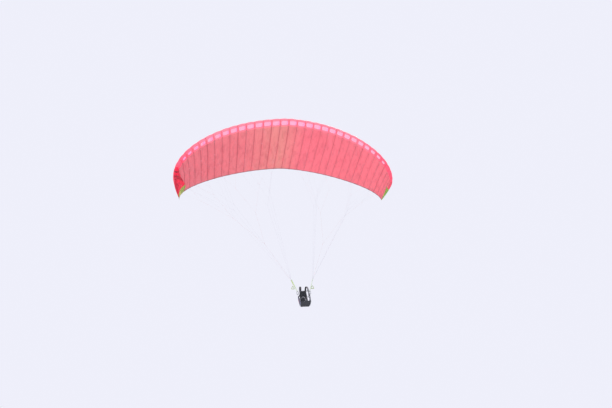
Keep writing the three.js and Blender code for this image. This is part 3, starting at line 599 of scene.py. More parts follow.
def keep(made, name, body, slot, *nodes):
    """Names a finished piece, or one joined from a list, hangs it on what it rides on, and hides the model's
    parts that it stands for
    """
    thing = joined(made) if isinstance(made, list) else made
    thing.name = thing.data.name = name
    if body:
        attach(thing, body)
    if nodes:
        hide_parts(*nodes)
    return thing


def finish_modifiers(thing):
    """Turns what the modifiers make into the piece's own plain mesh"""
    graph = bpy.context.evaluated_depsgraph_get()
    made = bpy.data.meshes.new_from_object(thing.evaluated_get(graph), preserve_all_data_layers=True,
                                           depsgraph=graph)
    thing.modifiers.clear()
    old, thing.data = thing.data, made
    if old.users == 0:
        bpy.data.meshes.remove(old)
    return thing


def modify(thing, kind, **settings):
    """Runs one modifier on the piece"""
    step = thing.modifiers.new(kind.lower(), kind)
    for key, value in settings.items():
        setattr(step, key, value)
    return finish_modifiers(thing)


def weld(thing, distance=1e-6, outwards=False):
    work = bmesh.new()
    work.from_mesh(thing.data)
    bmesh.ops.remove_doubles(work, verts=work.verts, dist=distance)
    if outwards:
        bmesh.ops.recalc_face_normals(work, faces=work.faces)
    work.to_mesh(thing.data)
    work.free()
    return thing


def creased(thing, angle=0.6):
    """Smooth shading with edges kept sharp where the surface turns by more than the angle"""
    work = bmesh.new()
    work.from_mesh(thing.data)
    for edge in work.edges:
        edge.smooth = not (len(edge.link_faces) == 2 and edge.calc_face_angle(0) > angle)
    work.to_mesh(thing.data)
    work.free()
    return thing


def tube_faces(rings, sides, caps=True):
    """Faces over both ends of a row of rings, and between the rings"""
    faces = [range(sides - 1, -1, -1), range((rings - 1) * sides, rings * sides)] if caps else []
    for low in range(0, (rings - 1) * sides, sides):
        high = low + sides
        faces += [(low + j, low + (j + 1) % sides, high + (j + 1) % sides, high + j) for j in range(sides)]
    return faces


def unit(v):
    v = np.asarray(v, float)
    return v / np.linalg.norm(v, axis=-1, keepdims=True)


def distances(path):
    """Lengths along a path, from its start to each of its points"""
    return np.concatenate([[0], np.cumsum(np.linalg.norm(np.diff(path, axis=0), axis=1))])


def straight(start, end, pieces=6):
    return np.linspace(np.asarray(start, float), np.asarray(end, float), pieces + 1)


def towards(start, end, length):
    return start + unit(end - start) * length


def smooth_path(points, steps=8):
    """A centripetal curve through the points"""
    p = np.asarray(points, float)
    p = np.vstack([2 * p[0] - p[1], p, 2 * p[-1] - p[-2]])
    out = []
    for k in range(len(p) - 3):
        q = p[k:k + 4]
        t = np.concatenate([[0], np.cumsum(np.linalg.norm(np.diff(q, axis=0), axis=1) ** 0.5)])
        for x in np.linspace(t[1], t[2], steps, endpoint=False):
            one = [((t[i + 1] - x) * q[i] + (x - t[i]) * q[i + 1]) / (t[i + 1] - t[i]) for i in range(3)]
            two = [((t[i + 2] - x) * one[i] + (x - t[i]) * one[i + 1]) / (t[i + 2] - t[i]) for i in range(2)]
            out.append(((t[2] - x) * two[0] + (x - t[1]) * two[1]) / (t[2] - t[1]))
    return np.array(out + [p[-2]])


def chaikin(points, times=3):
    """A closed outline with its corners cut round"""
    for _ in range(times):
        after = np.roll(points, -1, 0)
        cut = np.stack([points * 0.75 + after * 0.25, points * 0.25 + after * 0.75], 1)
        points = cut.reshape(-1, points.shape[1])
    return points


# Canopy cells

CLOTH_THICK, RIB_THICK = 0.0010, 0.0008
TOP_ROWS, UNDER_ROWS = 74, 66
OPEN_SHARES = [0, 0.03, 0.07, 0.1, 0.104, 0.115, 0.14, 0.19, 0.27, 0.38, 0.5]
OPEN_SHARES += [1 - x for x in OPEN_SHARES[-2::-1]]
CLOSED_SHARES = [0, 0.05, 0.12, 0.25, 0.38, 0.5, 0.62, 0.75, 0.88, 0.95, 1]
INLET_MIDDLE, INLET_HALF, INLET_SIDE, INLET_ROUNDNESS = 0.095, 0.05, 0.1, 5
INLET_NARROWING, INLET_LOWERING, NARROWING_POWER = 0.15, 0.30, 3
SCALLOP, SCALLOP_FROM = 0.010, 0.9
TOP_CROSS_SEAMS, UNDER_CROSS_SEAMS = (0.09, 0.34, 0.66), (0.30, 0.64)
NOSE_BAND, NOSE_BLUR = 0.075, 0.012  # the brighter cloth round the nose, in chords
FAR = 9.0  # stands for no seam or fold near
# trim at the tips: shares of the chord, and how far in from the tip the cloth reaches there
EDGE_TRIM = (0.34, 0.38, 0.62, 1.0), (-0.02, 0.135, 0.055, 0.035)
PANEL_TRIM = smooth_path(((-0.01, 0.47), (0.09, 0.47), (0.17, 0.45), (0.40, 0.55), (0.57, 0.66), (0.73, 0.77),
                          (0.84, 0.81), (0.94, 0.745), (1.01, 0.64))).T
PANEL_REAR = 0.76  # where the right tip's dark red panel gives way to lime
END_TRIM = 0.93  # where lime starts on the right tip's end
# folds in that panel, from place to place: metres in from the tip, share of the chord
FOLDS = (((0.0, 0.02), (0.66, 0.575)), ((0.27, 0.0), (0.40, 0.10)), ((0.10, 0.0), (0.55, 0.44)),
         ((0.0, 0.24), (0.15, 0.46)))
FOLD_RISE, FOLD_WIDE, FOLD_FADE, TIP_FADE = 0.016, 0.034, 0.08, 0.03
RIM = np.linspace(-0.985, 0.985, 96)  # the ribs' own outline stops short of the trailing edge
RIB_INSET, RIB_INSET_SHARE = 0.003, 0.3
# the ribs' ports: their place as a share of the chord, and their size as a share of the rib's height
PORTS = [(0.10, 0.30), (0.24, 0.40), (0.42, 0.42), (0.60, 0.40), (0.76, 0.34)]
PORT_SIDES, PORT_LONG, PORT_TALL = 20, 0.62, 0.7


def outer_rib(rib):
    return max(abs(rib), abs(rib + 1))


def narrowing(rib):
    return (outer_rib(rib) / OPEN_CELLS) ** NARROWING_POWER


def inlet_side(rib):
    """Share of a cell's width that stays closed on each side of its inlet: more near the tips"""
    return INLET_SIDE + INLET_NARROWING * narrowing(rib)


def inlet_opening(rib, share):
    """Half of the inlet's height at a share of the cell's width: a slot with round ends"""
    side = inlet_side(rib)
    t = (share - side) / (1 - 2 * side)
    if outer_rib(rib) > OPEN_CELLS or not 1e-6 < t < 1 - 1e-6:
        return 0.0
    half = INLET_HALF * (1 - INLET_LOWERING * narrowing(rib))
    return half * (1 - abs(2 * t - 1) ** INLET_ROUNDNESS) ** (1 / INLET_ROUNDNESS)


def cell_shares(rib):
    """Where a cell's columns stand, as shares of its width"""
    if outer_rib(rib) > OPEN_CELLS:
        return CLOSED_SHARES
    side = inlet_side(rib)
    return list(np.interp(OPEN_SHARES, [0, 0.1, 0.9, 1], [0, side, 1 - side, 1]))


def fold_distance(from_tip, u, chord):
    """How far the places are from the nearest fold of the right tip's panel, in metres"""
    place = np.stack([np.full_like(u, from_tip), u * chord], -1)
    nearest = np.full_like(u, FAR)
    for start, end in FOLDS:
        start, end = np.array(start) * (1, chord), np.array(end) * (1, chord)
        share = np.clip((place - start) @ (end - start) / np.dot(end - start, end - start), 0, 1)
        nearest = np.minimum(nearest, np.linalg.norm(place - start - share[:, None] * (end - start), axis=1))
    return nearest


def tip_trim(s, u, chord, below):
    """How far inside the lime trim, and inside the dark red panel, the places are, in metres"""
    from_tip = HALF_ARC - abs(s)
    edge = np.interp(u, *EDGE_TRIM) - from_tip
    if s > 0:
        return edge, np.full_like(u, -1.0)
    inside = np.interp(u, *PANEL_TRIM) - from_tip
    rear = (u - PANEL_REAR) * chord
    return (np.where(below, np.minimum(inside, rear), np.minimum(edge, rear)),
            np.where(below | (u < NOSE_BAND), np.minimum(inside, -rear), -1.0))


def canopy_column(rib, share, below):
    """One line of the skin round the wing: its points, its place on the flat cloth, and its values"""
    start, width = cell_span(rib)
    s = start + width * share
    gap = inlet_opening(rib, share)
    a = np.concatenate([np.linspace(-1, INLET_MIDDLE - gap, TOP_ROWS + 1),
                        np.linspace(INLET_MIDDLE + gap, 1, UNDER_ROWS + 1)])
    at = station(np.float64(s))
    chord, from_tip = at["chord"], HALF_ARC - abs(s)
    u, y = profile(a, at["thickness"])
    flat = distances(np.stack([u, y], -1)) * chord
    trim, panel_inside = tip_trim(s, u, chord, below)
    creases = fold_distance(from_tip, u, chord)
    slack = np.clip(panel_inside / FOLD_FADE, 0, 1) * below * np.clip((a - INLET_MIDDLE) / FOLD_FADE, 0, 1)
    slack = slack * min(1, from_tip / TIP_FADE)
    back, up = in_rib_plane(at, a, swelling(a, width, share) + puckers(flat, share, width, rib)
                            + FOLD_RISE * slack * (1 - np.exp(-(creases / FOLD_WIDE) ** 2)))
    back = back - SCALLOP * arched(share) * np.clip((u - SCALLOP_FROM) / (1 - SCALLOP_FROM), 0, 1) ** 2
    cross = [np.where(below == lower, abs(u - place) * chord, FAR)
             for lower, seams in ((False, TOP_CROSS_SEAMS), (True, UNDER_CROSS_SEAMS)) for place in seams]
    return into_wing(at, back, up), np.stack([np.full_like(flat, s), flat], -1), {
        "seam": np.full_like(flat, min(share, 1 - share) * width), "cross_seam": np.min(cross, axis=0),
        "tail": (1 - u) * chord, "lime": trim, "nose": np.clip((NOSE_BAND - u) / NOSE_BLUR, 0, 1),
        "tip_panel": panel_inside, "fold": creases}


def canopy_section(first_rib, last_rib):
    """The skin of a row of cells, its flat size and its area"""
    below = np.arange(TOP_ROWS + UNDER_ROWS + 2) > TOP_ROWS
    places = [(rib, share) for rib in range(first_rib, last_rib) for share in cell_shares(rib)[:-1]]
    places.append((last_rib - 1, cell_shares(last_rib - 1)[-1]))
    points, uv, values = zip(*(canopy_column(rib, share, below) for rib, share in places))
    rows = len(below)
    faces, kinds = [], []
    for column in range(len(places) - 1):
        for row in range(rows):
            if row != TOP_ROWS:
                low, high = column * rows + row, column * rows + (row + 1) % rows
                faces.append((low, high, high + rows, low + rows))
                kinds.append(0 if row < TOP_ROWS or row == rows - 1 else 1)
    values = {key: np.concatenate([column[key] for column in values]) for key in values[0]}
    piece = mesh_piece(np.concatenate(points), faces, [TOP, UNDERSIDE, LINING], uv=np.concatenate(uv),
                       values=values, kinds=kinds)
    weld(piece, 2e-5)
    if sum(f.normal.z * f.area for f in piece.data.polygons if f.material_index == 0) < 0:
        piece.data.flip_normals()
    area = sum(f.area for f in piece.data.polygons)
    modify(piece, "SOLIDIFY", thickness=CLOTH_THICK, material_offset=2)
    for face in piece.data.polygons:
        face.material_index = min(face.material_index, 2)
    width = abs(rib_place(last_rib) - rib_place(first_rib))
    return piece, (width, max(*(float(column[-1, 1]) for column in uv), area / width)), area


def rib_sheet(rib, ports=PORTS, inset=RIB_INSET):
    """One rib: the outline's cloth with round ports that let the air pass"""
    at = station(np.float64(rib_place(rib)))
    deep = np.hypot(*np.subtract(in_rib_plane(at, RIM, 0.0), in_rib_plane(at, -RIM, 0.0)))
    rear_inset = np.minimum(inset, RIB_INSET_SHARE * deep)
    loops = [np.stack(in_rib_plane(at, RIM, -np.where(abs(RIM) > 0.5, rear_inset, inset)), -1)]
    turn = np.linspace(0, 2 * math.pi, PORT_SIDES, endpoint=False)
    for place, share in ports:
        low, top = (np.array(in_rib_plane(at, np.float64(way * under_at(place)), 0.0)) for way in (1, -1))
        round_port = np.stack([PORT_LONG * np.cos(turn), PORT_TALL * np.sin(turn)], -1)
        loops.append((low + top) / 2 + share * math.hypot(*(top - low)) * round_port)
    triangles = tessellate_polygon([[Vector((*p, 0)) for p in loop] for loop in loops])
    return mesh_piece(into_wing(at, *np.concatenate(loops).T), triangles, [RIB_CLOTH], smooth=False)


def tip_end(rib, side):
    """The cloth that closes a tip"""
    end = rib_sheet(rib, (), 0.0)
    end.data.materials[0] = TOP
    trim_from = EDGE_TRIM[0][1] if side > 0 else END_TRIM
    set_values(end.data, {"seam": 1.0, "cross_seam": 1.0, "tail": 1.0, "nose": side > 0, "fold": 1.0,
                          "tip_panel": -side, "lime": chord_share(RIM) - trim_from})
    end.data.uv_layers.new(name="cloth")
    return modify(end, "SOLIDIFY", thickness=RIB_THICK, offset=0.0)


def build_canopy():
    edges = list(range(-LAST_RIB, LAST_RIB + 1, CELLS_PER_SECTION))
    outermost = (len(edges) - 2) // 2
    for k, (first, last) in enumerate(zip(edges, edges[1:])):
        place = k - outermost
        side = "left" if place > 0 else "right"
        outer = abs(place) == outermost
        node = "cells_centre" if place == 0 else f"tip_{side}" if outer else f"cells_{side}_{abs(place)}"
        skin, flat, area = canopy_section(first, last)
        keep(skin, f"{node}_skin", "wing", "tip" if outer else "canopy", node)
        sheets = [rib_sheet(rib) for rib in (range(first + 1, last + 1) if place < 0 else range(first, last))]
        ribs = modify(joined(sheets), "SOLIDIFY", thickness=RIB_THICK, offset=0.0)
        with_pieces = [keep(ribs, f"{node}_ribs", "wing", "canopy")]
        if outer:
            end = tip_end(first if place < 0 else last, place)
            with_pieces.append(keep(end, f"{node}_end", "wing", "tip"))


# Patterns that follow a path

class Pattern:
    """A Geometry Nodes tree with a named input for each of its sizes"""

    def __init__(self, name, **sizes):
        self.tree = bpy.data.node_groups.new(name, "GeometryNodeTree")
        self.identifiers = {}
        self.socket("Geometry", "Geometry", "OUTPUT")
        for key, kind in {"Geometry": "Geometry", **sizes, "Material": "Material"}.items():
            self.identifiers[key] = self.socket(key, kind, "INPUT").identifier
        self.given = self.node("NodeGroupInput").outputs

    def socket(self, key, kind, way):
        return self.tree.interface.new_socket(key, in_out=way, socket_type="NodeSocket" + kind)

    def node(self, kind, inputs=None, **settings):
        node = self.tree.nodes.new(kind)
        for key, value in settings.items():
            setattr(node, key, value)
        for key, value in (inputs or {}).items():
            if isinstance(value, bpy.types.NodeSocket):
                self.tree.links.new(value, node.inputs[key])
            else:
                node.inputs[key].default_value = value
        return node

    def shape(self, kind, inputs=None, **settings):
        """The first output of one of the geometry nodes"""
        return self.node("GeometryNode" + kind, inputs, **settings).outputs[0]

    def named(self, name, kind="FLOAT"):
        return self.shape("InputNamedAttribute", {"Name": name}, data_type=kind)

    def finish(self, geometry):
        real = self.shape("RealizeInstances", {"Geometry": geometry})
        painted = self.shape("SetMaterial", {"Geometry": real, "Material": self.given["Material"]})
        self.node("NodeGroupOutput", {"Geometry": painted})
        return self

    def run(self, thing, **values):
        steps = thing.modifiers.new(self.tree.name, "NODES")
        steps.node_group = self.tree
        for key, value in values.items():
            steps[self.identifiers[key]] = value
        return finish_modifiers(thing)


def make_rope_pattern():
    """A tube round each path, whose points give its radius"""
    rope = Pattern("rope", Sides="Int", Thickness="Float")
    way = rope.node("GeometryNodeSplineParameter").outputs
    curve = rope.shape("MeshToCurve", {"Mesh": rope.given["Geometry"]})
    curve = rope.shape("StoreNamedAttribute", {"Geometry": curve, "Name": "along", "Value": way["Length"]})
    ring = rope.shape("CurvePrimitiveCircle", {"Resolution": rope.given["Sides"], "Radius": 1.0})
    ring = rope.shape("StoreNamedAttribute", {"Geometry": ring, "Name": "around", "Value": way["Factor"]})
    scale = rope.node("ShaderNodeMath", {0: rope.named("radius"), 1: rope.given["Thickness"]},
                      operation="MULTIPLY").outputs[0]
    tube = rope.shape("CurveToMesh", {"Curve": curve, "Profile Curve": ring, "Scale": scale,
                                      "Fill Caps": True})
    return rope.finish(rope.shape("SetShadeSmooth", {"Geometry": tube}))


def make_stitch_pattern():
    """Short threads in a row along each path"""
    sewing = Pattern("stitches", Pitch="Float", Length="Float", Thread="Float")
    curve = sewing.shape("MeshToCurve", {"Mesh": sewing.given["Geometry"]})
    spots = sewing.node("GeometryNodeCurveToPoints", {"Curve": curve, "Length": sewing.given["Pitch"]},
                        mode="LENGTH").outputs
    stitch = sewing.shape("MeshCylinder", {"Vertices": 6, "Radius": sewing.given["Thread"],
                                           "Depth": sewing.given["Length"]})
    turn = sewing.node("FunctionNodeAlignRotationToVector", {"Vector": spots["Tangent"]}, axis="Z").outputs[0]
    return sewing.finish(sewing.shape("InstanceOnPoints", {"Points": spots["Points"], "Instance": stitch,
                                                           "Rotation": turn}))


def make_tab_pattern():
    """One tab at each point, turned to its line"""
    tabs = Pattern("line_tabs", Tab="Object")
    spots = tabs.shape("MeshToPoints", {"Mesh": tabs.given["Geometry"]})
    tab = tabs.node("GeometryNodeObjectInfo", {"Object": tabs.given["Tab"]}).outputs["Geometry"]
    turn = tabs.node("FunctionNodeAxesToRotation", {"Primary Axis": tabs.named("aim", "FLOAT_VECTOR"),
                     "Secondary Axis": Y}, primary_axis="Z", secondary_axis="Y").outputs[0]
    return tabs.finish(tabs.shape("InstanceOnPoints", {"Points": spots, "Instance": tab, "Rotation": turn}))


ROPE, SEWN_ROW, LINE_TABS = make_rope_pattern(), make_stitch_pattern(), make_tab_pattern()


def wires(runs, values=None):
    """Bare edges for a pattern to follow. Each run is its points, and whether it closes."""
    points, edges = [], []
    for run, closed in runs:
        start = len(points)
        points.extend(tuple(p) for p in run)
        edges.extend((start + k, start + k + 1) for k in range(len(run) - 1))
        if closed:
            edges.append((start + len(run) - 1, start))
    mesh = bpy.data.meshes.new("part")
    mesh.from_pydata(points, edges, [])
    set_values(mesh, values or {})
    return add_object(mesh)


def rope(runs, radii, material, sides=6):
    """Cords along the runs, as thick as radii says for each run or for all"""
    if isinstance(radii, float):
        radii = [radii] * len(runs)
    radius = np.concatenate([np.broadcast_to(r, len(path)) for (path, _), r in zip(runs, radii)])
    return ROPE.run(wires(runs, {"radius": radius}), Sides=sides, Thickness=1.0, Material=material)


def stitches(runs, material=SEWING, pitch=0.0042, length=0.0030, thread=0.00045):
    return SEWN_ROW.run(wires(runs), Pitch=pitch, Length=length, Thread=thread, Material=material)


# Straps and tubes

SKEW = (0.3, 0.5, 0.81)  # a direction that no pin lies along


def rounded(wide, tall, corner, steps):
    """An oblong's outline with round corners"""
    out = []
    for quarter, (x, y) in enumerate(CORNERS):
        turn = (quarter + np.arange(steps) / (steps - 1)) * math.pi / 2
        middle = x * (wide / 2 - corner), y * (tall / 2 - corner)
        out.append(middle + corner * np.stack([np.cos(turn), np.sin(turn)], -1))
    return np.concatenate(out)


def flat_section(width, thick):
    """A strap's outline, with round selvedges"""
    return rounded(width, thick, thick * 0.45, 3)


def round_section(radius, sides=12, flat=1.0, power=1.0):
    turn = np.arange(sides) / sides * 2 * math.pi
    c, s = np.cos(turn), np.sin(turn)
    return np.stack([radius * np.sign(c) * abs(c) ** power, radius * flat * np.sign(s) * abs(s) ** power], -1)


def path_frame(path, sideways, closed=False):
    """Which way a path runs, its side and what lies over it, at each of its points"""
    ahead = np.gradient(path, axis=0)
    if closed:
        ahead[0] = ahead[-1] = path[1] - path[-2]
    ahead = unit(ahead)
    sideways = np.broadcast_to(np.asarray(sideways, float), path.shape)
    side = unit(sideways - (sideways * ahead).sum(-1, keepdims=True) * ahead)
    return ahead, side, np.cross(ahead, side)


def swept(path, section, material, sideways, closed=False, grow=(1, 1)):
    """A strap or tube: a section carried along a path, with its first axis kept towards sideways"""
    path = np.asarray(path, float)
    if closed:
        path = np.vstack([path, path[:1]])
    _, side, over = path_frame(path, sideways, closed)
    n, m = len(path), len(section)
    grow = np.broadcast_to(np.asarray(grow, float).reshape(-1, 2), (n, 2))
    u, v = (section * grow[:, None]).transpose(2, 0, 1)[..., None]
    points = (path[:, None] + u * side[:, None] + v * over[:, None]).reshape(-1, 3)
    along = np.repeat(distances(path), m)
    across = np.tile(section[:, 0] / np.abs(section[:, 0]).max() / 2 + 0.5, n)
    thing = mesh_piece(points, tube_faces(n, m, not closed), [material], uv=np.stack([across, along], -1),
                       values={"along": along, "around": np.tile(np.arange(m) / m, n)})
    return weld(thing) if closed else thing


def barrel(start, end, radius, material, sides=16, bevel=0.0006):
    """A pin, nut or sleeve with small chamfers"""
    along = unit(end - start)
    path = [start, start + along * bevel, end - along * bevel, end]
    narrow = [1 - bevel / radius] * 2
    return creased(swept(path, round_section(radius, sides), material, np.cross(along, SKEW),
                         grow=[narrow, (1, 1), (1, 1), narrow]))


def arc(centre, one, other, turn):
    return centre + np.cos(turn)[:, None] * one + np.sin(turn)[:, None] * other


def ring(centre, one, other, radius, steps=24):
    return arc(centre, one * radius, other * radius, np.linspace(0, 2 * math.pi, steps, endpoint=False))


def box_tack(centre, along, across, long, wide):
    """The runs of a stitched box with a cross in it"""
    corners = np.array([centre + along * long / 2 * a + across * wide / 2 * b for b, a in CORNERS])
    return [(corners, True), (corners[[0, 2]], False), (corners[[1, 3]], False)]


def edge_rows(path, sideways, half, out):
    """Rows of stitches beside both edges of a strap, on both its faces"""
    _, side, over = path_frame(path, sideways)
    return [(path + side * half * way + over * out * face, False) for face in (-1, 1) for way in (-1, 1)]


# Trailing edge, inlets and lines

HEM_WIDE, HEM_PROUD, HEM_INNER = 0.020, 0.0012, 0.0002
HEM_ROUND = np.array([0, 0, 0.4, 1, 1, 0.4, 0, 0] + [0] * 8) * HEM_PROUD
PIPING_RADIUS = 0.0022
ROWS = (("a", 0.09), ("b", 0.36), ("c", 0.66))  # the rows of lines, and where on the chord they are sewn
MAIN_GROUPS = (((1, 3), (5, 7)), ((9, 11), (13, 15)))  # the ribs that each main line holds, in pairs
BRAKE_GROUPS = (((2, 4), (6, 8)), ((10, 12), (13, 15)))
BRAKE_AT, BRAKE_TRUNK, TIP_RIB = 0.985, 2.3, 17
MAIN_LINE, MIDDLE_LINE, TOP_LINE = 0.0011, 0.0008, 0.0006
TOP_LENGTH, MIDDLE_LENGTH, SIDE_BY_SIDE = 1.15, 1.9, 2.4
TAB_LONG, TAB_WIDE, TAB_THICK, TAB_HALF, TAB_OPEN = 0.022, 0.012, 0.0008, 0.0035, 0.35
EYE_LONG, EYE_WIDE = 0.016, 2.6
SPLICE_LONG, SPLICE_END, SPLICE = 0.085, 0.085 * 1.3, 1.4


def build_hem():
    """The tape folded over the trailing edge"""
    places = [(rib, share) for rib in range(-LAST_RIB, LAST_RIB) for share in np.arange(0, 1, 0.125)]
    points = []
    for rib, share in places + [(LAST_RIB - 1, 1)]:
        start, width = cell_span(rib)
        at = station(np.float64(start + width * share))
        outer = np.linspace(under_at(1 - HEM_WIDE / at["chord"]), 1, 4)
        a = np.concatenate([-outer, outer[::-1], outer, -outer[::-1]])
        back, up = in_rib_plane(at, a, np.repeat([HEM_PROUD, HEM_INNER], 8))
        points.append(into_wing(at, back - SCALLOP * arched(share) + HEM_ROUND, up))
    hem = mesh_piece(np.concatenate(points), tube_faces(len(points), len(HEM_ROUND)), [HEM_TAPE])
    keep(weld(hem, outwards=True), "trailing_edge_tape", "wing", "canopy")


def build_inlet_rims():
    """The piping sewn round each inlet"""
    runs = []
    for rib in range(-OPEN_CELLS, OPEN_CELLS):
        start, width = cell_span(rib)
        side = inlet_side(rib)
        shares = side + (1 - 2 * side) * (0.5 - 0.5 * np.cos(np.linspace(0, math.pi, 15)))
        loop = [(share, INLET_MIDDLE + way * inlet_opening(rib, share))
                for way, part in ((-1, shares), (1, shares[-2:0:-1])) for share in part]
        rim = [on_wing(start + width * share, a, swelling(a, width, share)) for share, a in loop]
        runs.append((np.array(rim), True))
    keep(rope(runs, PIPING_RADIUS, RIM_CORD), "inlet_piping", "wing", "canopy")


def lines_from(fork, ends, radius, held=0):
    """Lines side by side from a fork, each with its radius. The last ones, as many as held, end at a tab."""
    across = unit(ends[-1] - ends[0]) * SIDE_BY_SIDE * radius
    return [(fork + across * (k - (len(ends) - 1) / 2), end, radius, k >= len(ends) - held)
            for k, end in enumerate(ends)]


def held_points(ribs, share, side):
    return [on_wing(side * RIBS[rib], under_at(share), 0.001) for rib in ribs]


def held_middle(groups, share, side):
    return np.mean(held_points(np.ravel(groups), share, side), axis=0)


def line_tree(root, groups, share, side, trunk=0.0, extra=()):
    """The lines of one tree, down from the wing to its root"""
    foot = towards(root, held_middle(groups, share, side), trunk) if trunk else root
    lines = [(root, foot, MAIN_LINE, False)] if trunk else []
    main_forks = []
    for group, pairs in enumerate(groups):
        tops = [held_points(pair, share, side) for pair in pairs]
        forks = [towards(np.mean(pair, axis=0), foot, TOP_LENGTH) for pair in tops]
        main_forks.append(towards(np.mean(forks, axis=0), foot, MIDDLE_LENGTH))
        loose = held_points(extra, share, side) if group == len(groups) - 1 else []
        lines += lines_from(main_forks[-1], forks + loose, MIDDLE_LINE, len(loose))
        for point, pair in zip(forks, tops):
            lines += lines_from(point, pair, TOP_LINE, len(pair))
    return lines + lines_from(foot, main_forks, MAIN_LINE)


def build_lines(lines, material):
    """Sheathed lines with a sewn eye and a thicker splice at each end"""
    runs, radii = [], []
    for start, end, radius, on_tab in lines:
        along = unit(end - start)
        across = unit(np.cross(along, (0.0, 1.0, 0.2)))
        last = end - along * (TAB_LONG - 0.003 if on_tab else 0.0)
        for place, way in ((start, 1), (last, -1)):
            eye = place + way * along * (EYE_LONG / 2 - 1.5 * radius)
            turn = np.linspace(0, 2 * math.pi, 12, endpoint=False)
            runs.append((arc(eye, along * EYE_LONG / 2, across * radius * EYE_WIDE, turn), True))
            radii.append(radius)
        near, far = start + along * EYE_LONG, last - along * EYE_LONG
        length = np.linalg.norm(far - near)
        marks = [0, SPLICE_LONG, SPLICE_END, length / 2, length - SPLICE_END, length - SPLICE_LONG, length]
        runs.append((np.array([near + along * mark for mark in marks]), False))
        radii.append(np.array([SPLICE, SPLICE, 1, 1, 1, SPLICE, SPLICE]) * radius)
    return rope(runs, radii, material)


def build_tabs(lines):
    """A loop of tape where each line that reaches the wing is held"""
    turn = np.linspace(TAB_OPEN, 2 * math.pi - TAB_OPEN, 14)
    loop = np.stack([np.zeros(14), TAB_HALF * np.sin(turn), 0.5 * TAB_LONG * (1 - np.cos(turn)) + 0.0004], -1)
    loop[[0, -1], 1] *= 0.6
    tab = swept(loop, flat_section(TAB_WIDE, TAB_THICK), TAB_CLOTH, X)
    held = [(start, end) for start, end, _, on_tab in lines if on_tab]
    spots = wires([([end], False) for _, end in held])
    spots.data.attributes.new("aim", "FLOAT_VECTOR", "POINT").data.foreach_set(
        "vector", np.concatenate([unit(start - end) for start, end in held]).astype(np.float32))
    LINE_TABS.run(spots, Tab=tab, Material=TAB_CLOTH)
    bpy.data.objects.remove(tab)
    keep(spots, "line_tabs", "wing", "canopy")


# Risers, maillons, pulleys and brakes

HINGE_Z = -7.300
TOUCH, LIFT = 0.0003, 0.0001  # between pieces that touch, and under a row of stitches
CARABINER_X, CARABINER_TALL, CARABINER_WIDE = 0.215, 0.105, 0.060
CARABINER_ROD, CARABINER_CORNER = 0.0055, 0.012
RISER_LONG, RISER_WIDE, RISER_THICK, RISER_FAN = 0.500, 0.022, 0.0024, 1.3
RISER_CLOTHS = {"a": RISER_WHITE, "b": RISER_LIME, "c": RISER_LIME}
LOOP_LEG = ((-0.075, 0.0019), (-0.010, 0.0019), (-0.003, 0.0026))  # the loop's ply below the link: along, out
RISER_TACK, RISER_TACKS = 0.040, ((-0.045, 0.0027), (0.055, 0.0013))
RISER_OPENS, LOOP_PLY, SLEEVE_THICK, SLEEVE_WIDE = 0.012, 0.0014, 0.0030, 0.025
LINK_HALF, LINK_NARROW, LINK_ROD, LINK_SQUARE = 0.015, 0.8, 0.002, 0.85
NUT_HALF, NUT_RADIUS = 0.0055, 0.0031
COLLARS_AT, COLLAR_LONG, COLLAR_RADIUS = (-0.0082, 0.0066), 0.0016, 0.0026
PULLEY_DOWN, PULLEY_BACK, PULLEY_RADIUS, PULLEY_THICK = 0.090, 0.024, 0.013, 0.009
WHEEL_RADIUS, CHEEK_THICK, AXLE_RADIUS, BUSH_RADIUS = 0.0075, 0.0013, 0.0026, 0.0030
GROOVE = np.array([(-0.0030, 0.0020), (-0.0030, -0.0025), (-0.0012, -0.0008), (0.0012, -0.0008),
                   (0.0030, -0.0025), (0.0030, 0.0020)])
BRAKE_DROP, BRAKE_CORD = 0.100, MAIN_LINE * 1.15
LEAD_UP, LEAD_END = 0.02, 0.004  # the cord onto the wheel: its start above the pulley, its end above the axle
# the left half of the toggle's outline, from its middle at the knot: across, up
TOGGLE_HALF = ((0.009, -0.012), (0.0200, -0.022), (0.0512, -0.0985), (0.0470, -0.1085), (0.0400, -0.1100))
TOGGLE_LONG, GRIP_RADIUS, GRIP_FLAT, GRIP_SQUARE = 0.11, 0.0098, 0.80, 0.62
GRIP_FOOT, FOOT_THICK, LEG_THIN = 0.93, 1.12, 0.92  # where the grip's foot starts, and how thick both parts are
# how the toggle's head grows from the knot down: across, through
TOGGLE_HEAD = ((0.35, 0.5), (0.6, 0.8), (0.85, 0.95), (1, 1), (1.05, 1), (1.0, 0.9))
HEAD_FROM, HEAD_TO, HEAD_SIZE = 0.0005, 0.020, (0.030, 0.012)
TOGGLE_SEAMS = ((0.0, -0.0080), (-0.0094, 0.0026), (0.0094, 0.0026))
SNAP_DOWN, SNAP_FACE, SNAP_FOOT, SNAP_RADIUS = 0.0125, 0.0082, 0.0060, 0.0062
FERRULE_LONG, FERRULE_RADIUS = 0.0050, 0.0032
# along the carabiner's gate, above its lower bar: from, to, radius and chamfer
GATE_SLEEVE, GATE_NOSE = (0.034, 0.074, 0.0074, 0.0012), (0.082, 0.0865, 0.0066, 0.001)
GATE_PIN_AT, GATE_PIN_HALF, GATE_PIN_RADIUS = 0.018, 0.0058, 0.0022
GATE_RING_AT, GATE_RING_RADIUS, RING_ROD = 0.028, 0.0054, 0.0006
GRIP_RINGS, GRIP_RING_RADIUS = np.arange(0.038, 0.072, 0.0034), 0.0075


